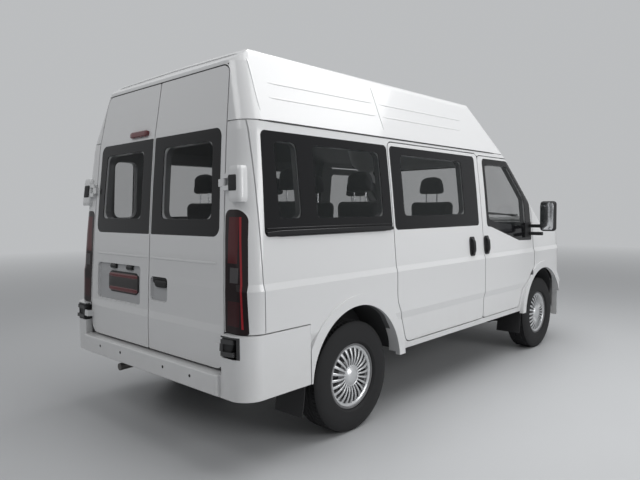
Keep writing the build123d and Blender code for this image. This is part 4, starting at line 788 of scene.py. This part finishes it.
add("plate_holder", in_recess(0.142, 0.540, 0.936, 0.142, 0.005, 0.003), "rear_door_left", BLACK)
add("blank_plate", in_recess(0.150, 0.532, 0.936, 0.128, 0.008, 0.002), "rear_door_left", PLATE)
add("plate_bands", joined([in_recess(0.154, 0.528, z, 0.026, 0.0095, 0.002) for z in (0.982, 0.889)]),
    "rear_door_left", LAMP_RED)
add("plate_lamps", joined([in_recess(x, x + 0.080, 1.040, 0.034, 0.016, 0.010, taper=0.018) for x in (0.215, 0.430)]),
    "rear_door_left", GLOSS_BLACK)
add("rear_handle", joined([in_recess(-0.204, -0.034, 0.984, 0.040, 0.006, 0.004, 14, 0.02),
                           on_rear(-0.200, -0.072, 0.966, 0.046, 0.017, SUNK - 0.002, 0.014, 14, 0.02)]),
    "rear_door_right", BLACK)
add("high_brake_lamp", on_rear(0.076, 0.288, 1.906, 0.040, 0.020, 0.0, 0.008, 14, 0.012), "rear_door_left",
    LAMP_RED)
# Painted shade: a black strip in the slot over the rear doors.
add("door_top_shadow_strip", on_rear(-0.676, 0.676, 2.2205, 0.011, 0.004, 0.004, 0.002, 20, 0.01), VAN, RUBBER_AND_SHADE)
for side_name, side in SIDES:
    x0, x1 = sorted((side * 0.012, side * 0.690))
    add(f"rear_door_crease_{side_name}", on_rear(x0, x1, 1.122, 0.013, 0.0035, 0.0, 0.0015, 16, 0.03),
        f"rear_door_{side_name}", WHITE)
print("rear fittings in place")

# %% [markdown]
# ## Hinge housings
# The rear doors fold right round to the sides on hinges that stand proud of the corners. A white
# moulded box covers each upper hinge and a black one each lower hinge. Each is a rounded section
# carried upwards along the leaning corner, and low enough for the folded door to lie over it.

# %% Housings over the hinges
def housing(side, inner, outer, sunk, proud, z0, z1, radius, end):
    """Rounded box on a rear corner: section in plan carried from z0 to z1, smaller over the last end metres."""
    z = np.linspace(z0, z1, 16)
    lean = (wall_x(z) - wall_x((z0 + z1) / 2)) * side
    path = points_at(side * (inner + outer) / 2 + lean, rear_y(z) + (proud - sunk) / 2, z)
    scale = end_scale(np.minimum(z - z0, z1 - z), end, 0.86)
    return carried(path, [1, 0, 0], [0, 1, 0], pill(outer - inner, proud + sunk, 7, radius), scale)


HINGE_COVERS = (
    ("upper_hinge_housing", (0.797, 0.902, 0.034, 0.030, 1.455, 1.645, 0.022, 0.03), WHITE, "white_paint"),
    ("upper_hinge_inset", (0.806, 0.874, -0.021, 0.0325, 1.514, 1.598, 0.004, 0.01), BLACK, "black_trim"),
    ("lower_hinge_block", (0.792, 0.886, 0.060, 0.036, 0.640, 0.746, 0.010, 0.012), BLACK, "black_trim"))
for side_name, side in SIDES:
    for name, sizes, material, slot in HINGE_COVERS:
        add(f"{name}_{side_name}", housing(side, *sizes), VAN, material)

# %% [markdown]
# ## Parking sensors and mud flaps
# Small round sensors sit in the rear bumper, each a low disc turned about Y. Mud flaps are thin
# rubber sheets behind each wheel, hung from the arch, that bow back a little towards the ground.

# %% Sensors and flaps
def disc_y(x, y, z, radius, depth):
    """Low round button whose axis is Y: radius shrinks towards its face."""
    path = points_at(x, y + depth * np.array([-1, 0.6, 0.9, 1]), z)
    return carried(path, [1, 0, 0], [0, 0, 1], circle(radius, 32), [1, 1, 0.93, 0.8])


BUMPER_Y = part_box("rear_bumper")[1][1]
sensors = [disc_y(x, BUMPER_Y - 0.002, 0.490, 0.009, 0.004) for x in (-0.532, -0.255, 0.255, 0.532)]
add("parking_sensors", joined(sensors), VAN, GLOSS_BLACK)


def flap(y, side):
    """Rubber sheet: width 0.23 m, from z 0.455 down to 0.22 m, bowed back by 0.03 m at its foot."""
    t = np.linspace(0, 1, 10)
    path = points_at(side * 0.835, y + 0.03 * t ** 2, 0.455 - 0.235 * t)
    return carried(path, [1, 0, 0], [0, 1, 0], pill(0.230, 0.006, 4, 0.0025))


flaps = [flap(y + 0.452, side) for _, y in ENDS for _, side in SIDES]
add("mud_flaps", joined(flaps), VAN, RUBBER_AND_SHADE)

# %% [markdown]
# ## Seats
# Each seat is a cushion, a back and a headrest in grey cloth over a plain frame. A pad starts as
# a box with rounded edges. Blender's cloth, with air pressure inside and no gravity, then swells
# it until the cloth is tight, which gives the crowned faces and pulled-in edges of real
# upholstery. One pad of each kind is swollen and then copied to every seat.

# %% Cloth for the pads
def woven(name, colour):
    """Seat cloth: crossed waves of thread 3 mm apart give the bump, a slow noise the colour."""
    material = finish(name, colour, 0.85, spread=0.25, size=22, sheen=0.25, rough_spread=0.05)
    place = add_node(material, "TexCoord").outputs["Object"]
    warp, weft = (add_node(material, "TexWave", ("bands_direction", way), Scale=90, Distortion=0.6,
                           Vector=place).outputs["Fac"] for way in ("X", "Z"))
    bumped(material, reckoner(material)("MULTIPLY", warp, weft), 0.35, 0.0006)
    return material


CLOTH = woven("seat_cloth", (0.075, 0.078, 0.085))


def box_shell(low, high, radius, cells=14):
    """Closed shell of a box with rounded edges: each point of a cube grid moved out from an inner box by radius."""
    low, high = np.array(low, float), np.array(high, float)
    centre, half = (low + high) / 2, (high - low) / 2
    line = np.linspace(-1, 1, cells)
    u, v = np.meshgrid(line, line, indexing="ij")
    parts = []
    for axis in range(3):
        for sign in (1, -1):
            cube = np.empty(u.shape + (3,))
            cube[..., axis] = sign
            cube[..., (axis + 1) % 3] = u * sign
            cube[..., (axis + 2) % 3] = v
            point = cube * half
            inner = np.clip(point, -(half - radius), half - radius)
            away = point - inner
            size = np.maximum(np.linalg.norm(away, axis=-1, keepdims=True), 1e-9)
            parts.append((centre + inner + away / size * radius, list(grid_faces(cells, cells))))
    return joined(parts)


def baked(piece):
    """Make the shape that the modifiers give the piece's own mesh."""
    graph = bpy.context.evaluated_depsgraph_get()
    piece.data = bpy.data.meshes.new_from_object(piece.evaluated_get(graph))
    piece.modifiers.clear()


FRAMES = 20                 # steps of the cloth's swelling


def swollen(name, low, high, radius, cap, voxel):
    """Cloth shell blown up from a rounded box; no point moves further than cap."""
    piece = outward(mesh_piece(name, *box_shell(low, high, radius)))
    remesh = piece.modifiers.new("remesh", "REMESH")
    remesh.mode = "VOXEL"
    remesh.voxel_size = voxel
    baked(piece)
    start = points_of(piece.data)
    cloth = piece.modifiers.new("cloth", "CLOTH")
    cloth.settings.use_pressure = True
    cloth.settings.uniform_pressure_force = 4
    cloth.settings.effector_weights.gravity = 0
    cloth.settings.quality = 4
    cloth.point_cache.frame_start, cloth.point_cache.frame_end = 1, FRAMES
    for number in range(1, FRAMES + 1):
        bpy.context.scene.frame_set(number)
    baked(piece)
    bpy.context.scene.frame_set(1)
    move = points_of(piece.data) - start
    move *= np.minimum(1, cap / np.maximum(np.linalg.norm(move, axis=1, keepdims=True), 1e-9))
    piece.data.vertices.foreach_set("co", (start + move).ravel())
    return piece


# %% [markdown]
# ## Where the seats stand
# The CAD node holds one plain solid per seat, and gives the box of each row. A seat's pads are
# made round the place of its cushion, with sewn channels across the cushion and down the back:
# shallow valleys, deepest on the line of the seam, moved straight in from the surface.

# %% Pads, channels and frames
def channelled(piece, axis, places, depth, face_axis, face_sign):
    """Valleys in one face: depth * exp(-(distance to the seam / width) ** 2), only where the face looks that way."""
    points = points_of(piece.data)
    normals = np.empty(points.size)
    piece.data.vertex_normals.foreach_get("vector", normals)
    normals = normals.reshape(-1, 3)
    gap = np.min(np.abs(points[:, axis, None] - np.array(places)), 1)
    facing = np.clip(normals[:, face_axis] * face_sign, 0, 1)
    points -= normals * (depth * np.exp(-(gap / SEAM_WIDTH) ** 2) * facing)[:, None]
    piece.data.vertices.foreach_set("co", points.ravel())
    piece.data.update()


def narrowed(piece, share):
    """Headrest outline: width times 1 - share * t ** 2 and height drawn in at the corners, t from the foot up."""
    points = points_of(piece.data)
    low, high = points[:, 2].min(), points[:, 2].max()
    t = (points[:, 2] - low) / (high - low)
    reach = np.abs(points[:, 0]) / np.abs(points[:, 0]).max()
    points[:, 0] *= 1 - share * t ** 2
    points[:, 2] -= (high - low) * 0.16 * t * reach ** 3
    piece.data.vertices.foreach_set("co", points.ravel())
    piece.data.update()


SEAM_WIDTH = 0.009
PAD_CAP = 0.012             # furthest that a point of a pad may swell
kinds = {
    "cushion": ((-0.225, -0.530, 0.862), (0.225, -0.080, 0.975), 0.045, 0.010),
    "back": ((-0.217, -0.098, 1.008), (0.217, -0.010, 1.480), 0.040, 0.010),
    "headrest": ((-0.122, -0.086, 1.542), (0.122, -0.020, 1.692), 0.030, 0.008),
}
CHANNELS = {
    "cushion": ((0, (-0.13, 0.13), 0.010, 2, 1), (1, (-0.30,), 0.007, 2, 1)),
    "back": ((0, (-0.13, 0.13), 0.010, 1, -1), (2, (1.22, 1.36), 0.006, 1, -1)),
    "headrest": (),
}
models = {}
for kind, (low, high, radius, voxel) in kinds.items():
    model = swollen("pad_" + kind, low, high, radius, PAD_CAP, voxel)
    for channel in CHANNELS[kind]:
        channelled(model, *channel)
    if kind == "headrest":
        narrowed(model, 0.22)
    models[kind] = model
    print(kind, "has", len(model.data.vertices), "points")

ROWS = {
    "front_seats": [(0.440, REAR_AXLE - 1.665), (-0.440, REAR_AXLE - 1.665)],
    "rear_seats": [(x, REAR_AXLE + y) for y in (-0.560, 0.150) for x in (-0.500, -0.010, 0.480)],
}


def tube(path, radius):
    """Round bar along a path, its section square to the mean run."""
    path = np.asarray(path, float)
    run = path[-1] - path[0]
    run /= np.linalg.norm(run)
    side = np.cross(run, [0.31, 0.95, 0.05])
    side /= np.linalg.norm(side)
    return carried(path, side, np.cross(run, side), circle(radius, 12))


# Bars under a seat as (low, high) corners from the seat's place: the pan, two legs and the foot of the back.
SEAT_BARS = (((-0.170, -0.495, 0.790), (0.170, -0.070, 0.862)), ((-0.150, -0.470, 0.601), (-0.115, -0.090, 0.800)),
             ((0.115, -0.470, 0.601), (0.150, -0.090, 0.800)), ((-0.205, -0.085, 0.860), (0.205, -0.045, 1.020)))


for node, places in ROWS.items():
    frames, posts = [], []
    for number, (x, y) in enumerate(places, 1):
        row = node[:-6]
        for kind, model in models.items():
            pad = bpy.data.objects.new(f"{row}_{kind}_{number}", model.data.copy())
            bpy.context.scene.collection.objects.link(pad)
            pad.data.transform(mathutils.Matrix.Translation((x, y, 0)))
            pad.data.materials.clear()
            pad.data.materials.append(CLOTH)
            pad.data.shade_smooth()
            smooth = pad.modifiers.new("smooth", "SUBSURF")
            smooth.levels = smooth.render_levels = 1
            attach(pad, VAN)
            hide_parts(node)
        frames += [box_shell(np.add(low, (x, y, 0)), np.add(high, (x, y, 0)), 0.006, 5) for low, high in SEAT_BARS]
        posts += [tube([(x + dx, y - 0.053, 1.45), (x + dx, y - 0.053, 1.57)], 0.006) for dx in (-0.055, 0.055)]
    add(f"{node}_frames", joined(frames), VAN, CABIN)
    add(f"{node}_headrest_posts", joined(posts), VAN, CHROME)
for model in models.values():
    bpy.data.objects.remove(model)
print("seats placed:", sum(len(p) for p in ROWS.values()))

# %% [markdown]
# ## Mirrors and wipers
# The mirror housing gets its silvered glass, facing back. Wiper arms rest low on the windscreen,
# so their paths run from point to point of its sloping plane, a little way off the glass.

# %% Fittings in front
MIRROR_Y = -1.1005
MIRROR_WIDTH = 0.132 - 0.010


def mirror_face(side):
    """Silvered pane in the rear side of the housing."""
    low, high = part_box("mirror_right" if side < 0 else "mirror_left")
    outer = high[0] - 0.010 if side > 0 else low[0] + 0.010
    z = np.linspace(1.205, 1.455, 16)
    path = points_at(outer - side * MIRROR_WIDTH / 2, MIRROR_Y, z)
    scale = end_scale(np.minimum(z - z[0], z[-1] - z), 0.03, 0.8)
    return carried(path, [1, 0, 0], [0, 1, 0], pill(MIRROR_WIDTH, 0.006, 4, 0.0025), scale)


for side_name, side in SIDES:
    add(f"mirror_glass_{side_name}", mirror_face(side), f"front_door_{side_name}", CHROME)

SCREEN_FOOT, SCREEN_HEAD = np.array([-1.7465, 1.265]), np.array([-1.0485, 1.885])
SCREEN_OUT, SCREEN_UP = np.array([0, -0.664, 0.748]), np.array([0, 0.748, 0.664])


def screen_point(x, t):
    """Point on the windscreen at x, t of the way up, from the foot at the cowl."""
    return np.array([x, *(SCREEN_FOOT + (SCREEN_HEAD - SCREEN_FOOT) * t)])


def wiper(x0, x1):
    """Arm from its spindle on the cowl and a long blade lying along the foot of the glass."""
    t = np.linspace(0, 1, 12)[:, None]
    blade = screen_point(x0, 0.10) * (1 - t) + screen_point(x1, 0.14) * t + SCREEN_OUT * 0.010
    arm_end = screen_point(x0 * 0.45 + x1 * 0.55, 0.125) + SCREEN_OUT * 0.022
    arm_start = screen_point(x0 - 0.02, 0.045) + SCREEN_OUT * 0.018
    arm = arm_start * (1 - t) + arm_end * t + SCREEN_OUT * 0.010 * np.sin(math.pi * t)
    return joined([carried(blade, SCREEN_OUT, SCREEN_UP, pill(0.016, 0.010, 3)),
                   carried(arm, SCREEN_OUT, SCREEN_UP, pill(0.010, 0.016, 3))])


add("wipers", joined([wiper(-0.62, -0.02), wiper(0.05, 0.66)]), VAN, BLACK)

# %% [markdown]
# ## Floor, light and camera
# A plain pale floor runs on to the horizon, and the world behind it is pale too where the camera
# or a reflection sees it. Large soft lamps overhead, behind and at the side light the van evenly.
# The camera stands behind the right rear corner, a little under a metre and a half up, so that
# the rear doors and the right side both show.

# %% Stage
FLOOR_HALF = 60
PALE = (0.50, 0.51, 0.52)
FADE_FROM, FADE_RUN = 5, 13  # metres from the van to where the floor starts to fade, and over which it does


def stage_sheet():
    """Level floor: x and y each run over the floor's width on a grid, z = 0."""
    line = np.linspace(-FLOOR_HALF, FLOOR_HALF, 9)
    x, y = np.meshgrid(line, line, indexing="ij")
    return points_at(x, y, 0).reshape(-1, 3), list(grid_faces(9, 9))


def emitting(owner, kind):
    """Even pale shader of that kind, seen as the background's colour."""
    glow = add_node(owner, kind)
    glow.inputs[0].default_value = (*PALE, 1)
    return glow.outputs[0]


def seen_directly(owner, *kinds):
    """1 where a ray is of one of these kinds, otherwise 0."""
    rays = add_node(owner, "LightPath")
    calc = reckoner(owner)
    seen = rays.outputs[kinds[0]]
    for kind in kinds[1:]:
        seen = calc("MAXIMUM", seen, rays.outputs[kind])
    return seen


def pale_floor():
    """Matt floor that, to the camera, fades into the pale world: share = (distance - from) / run."""
    material, calc, x, y, _ = drawn_finish("pale_floor", (0.52, 0.53, 0.54), 0.5, spread=0.03, size=0.8, grain=0.02)
    share = calc("MULTIPLY_ADD", hypotenuse(calc, x, y), 1 / FADE_RUN, -FADE_FROM / FADE_RUN)
    seen = seen_directly(material, "Is Camera Ray", "Is Transmission Ray")
    blend_shaders(material, calc("MULTIPLY", clamped(calc, share, 0.0, 1.0), seen),
                  material.node_tree.nodes["Principled BSDF"].outputs[0], emitting(material, "Emission"))
    return material


floor = mesh_piece("stage_floor", *stage_sheet())
floor.data.materials.append(pale_floor())
floor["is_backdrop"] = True

world = bpy.data.worlds.new("studio")
bpy.context.scene.world = world
world.use_nodes = True
soft_light = world.node_tree.nodes["Background"]
soft_light.inputs[0].default_value = (0.88, 0.89, 0.91, 1)
soft_light.inputs[1].default_value = 0.27
# Pale grey to camera, glossy and transmission rays, and the soft light to all others.
blend_shaders(world, seen_directly(world, "Is Camera Ray", "Is Transmission Ray", "Is Glossy Ray"),
              soft_light.outputs[0], emitting(world, "Background"), "World Output")


def lamp(name, place, aim, size, power):
    """Square area lamp at place, facing aim."""
    data = bpy.data.lights.new(name, "AREA")
    data.size, data.energy = size, power
    lamp_object = bpy.data.objects.new(name, data)
    lamp_object.location = place
    lamp_object.rotation_euler = (mathutils.Vector(aim) - mathutils.Vector(place)).to_track_quat("-Z", "Y").to_euler()
    bpy.context.scene.collection.objects.link(lamp_object)


lamp("ceiling_lamp", (-1.5, -0.5, 6.0), (0, 0, 0), 6.0, 300)
lamp("rear_lamp", (0.5, 6.0, 5.2), (0, 2.0, 1.2), 2.5, 62)
lamp("side_lamp", (-8.0, 0.0, 3.2), (0, 0, 1.2), 3.5, 190)

camera_data = bpy.data.cameras.new("portrait")
camera = bpy.data.objects.new("portrait", camera_data)
bpy.context.scene.collection.objects.link(camera)
bpy.context.scene.camera = camera
camera_data.sensor_width, camera_data.lens, camera_data.clip_end = 36.0, 31.84, 200
camera.location = (-3.196, 2.732 + REAR_AXLE, 1.410)
YAW, PITCH, ROLL = math.radians(-47.07), math.radians(-3.07), math.radians(-0.53)
aim = mathutils.Vector((math.cos(YAW) * math.cos(PITCH), math.sin(YAW) * math.cos(PITCH), math.sin(PITCH)))
camera.rotation_euler = (aim.to_track_quat("-Z", "Y") @ mathutils.Quaternion((0, 0, 1), ROLL)).to_euler()
bpy.context.scene.view_settings.view_transform = "Standard"
print("camera looks along", tuple(round(v, 3) for v in aim))

# %% [markdown]
# ## Sizes and the end
# The box round everything that is shown, the floor left out, is measured.

# %% Measure the box round what is shown
low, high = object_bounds()
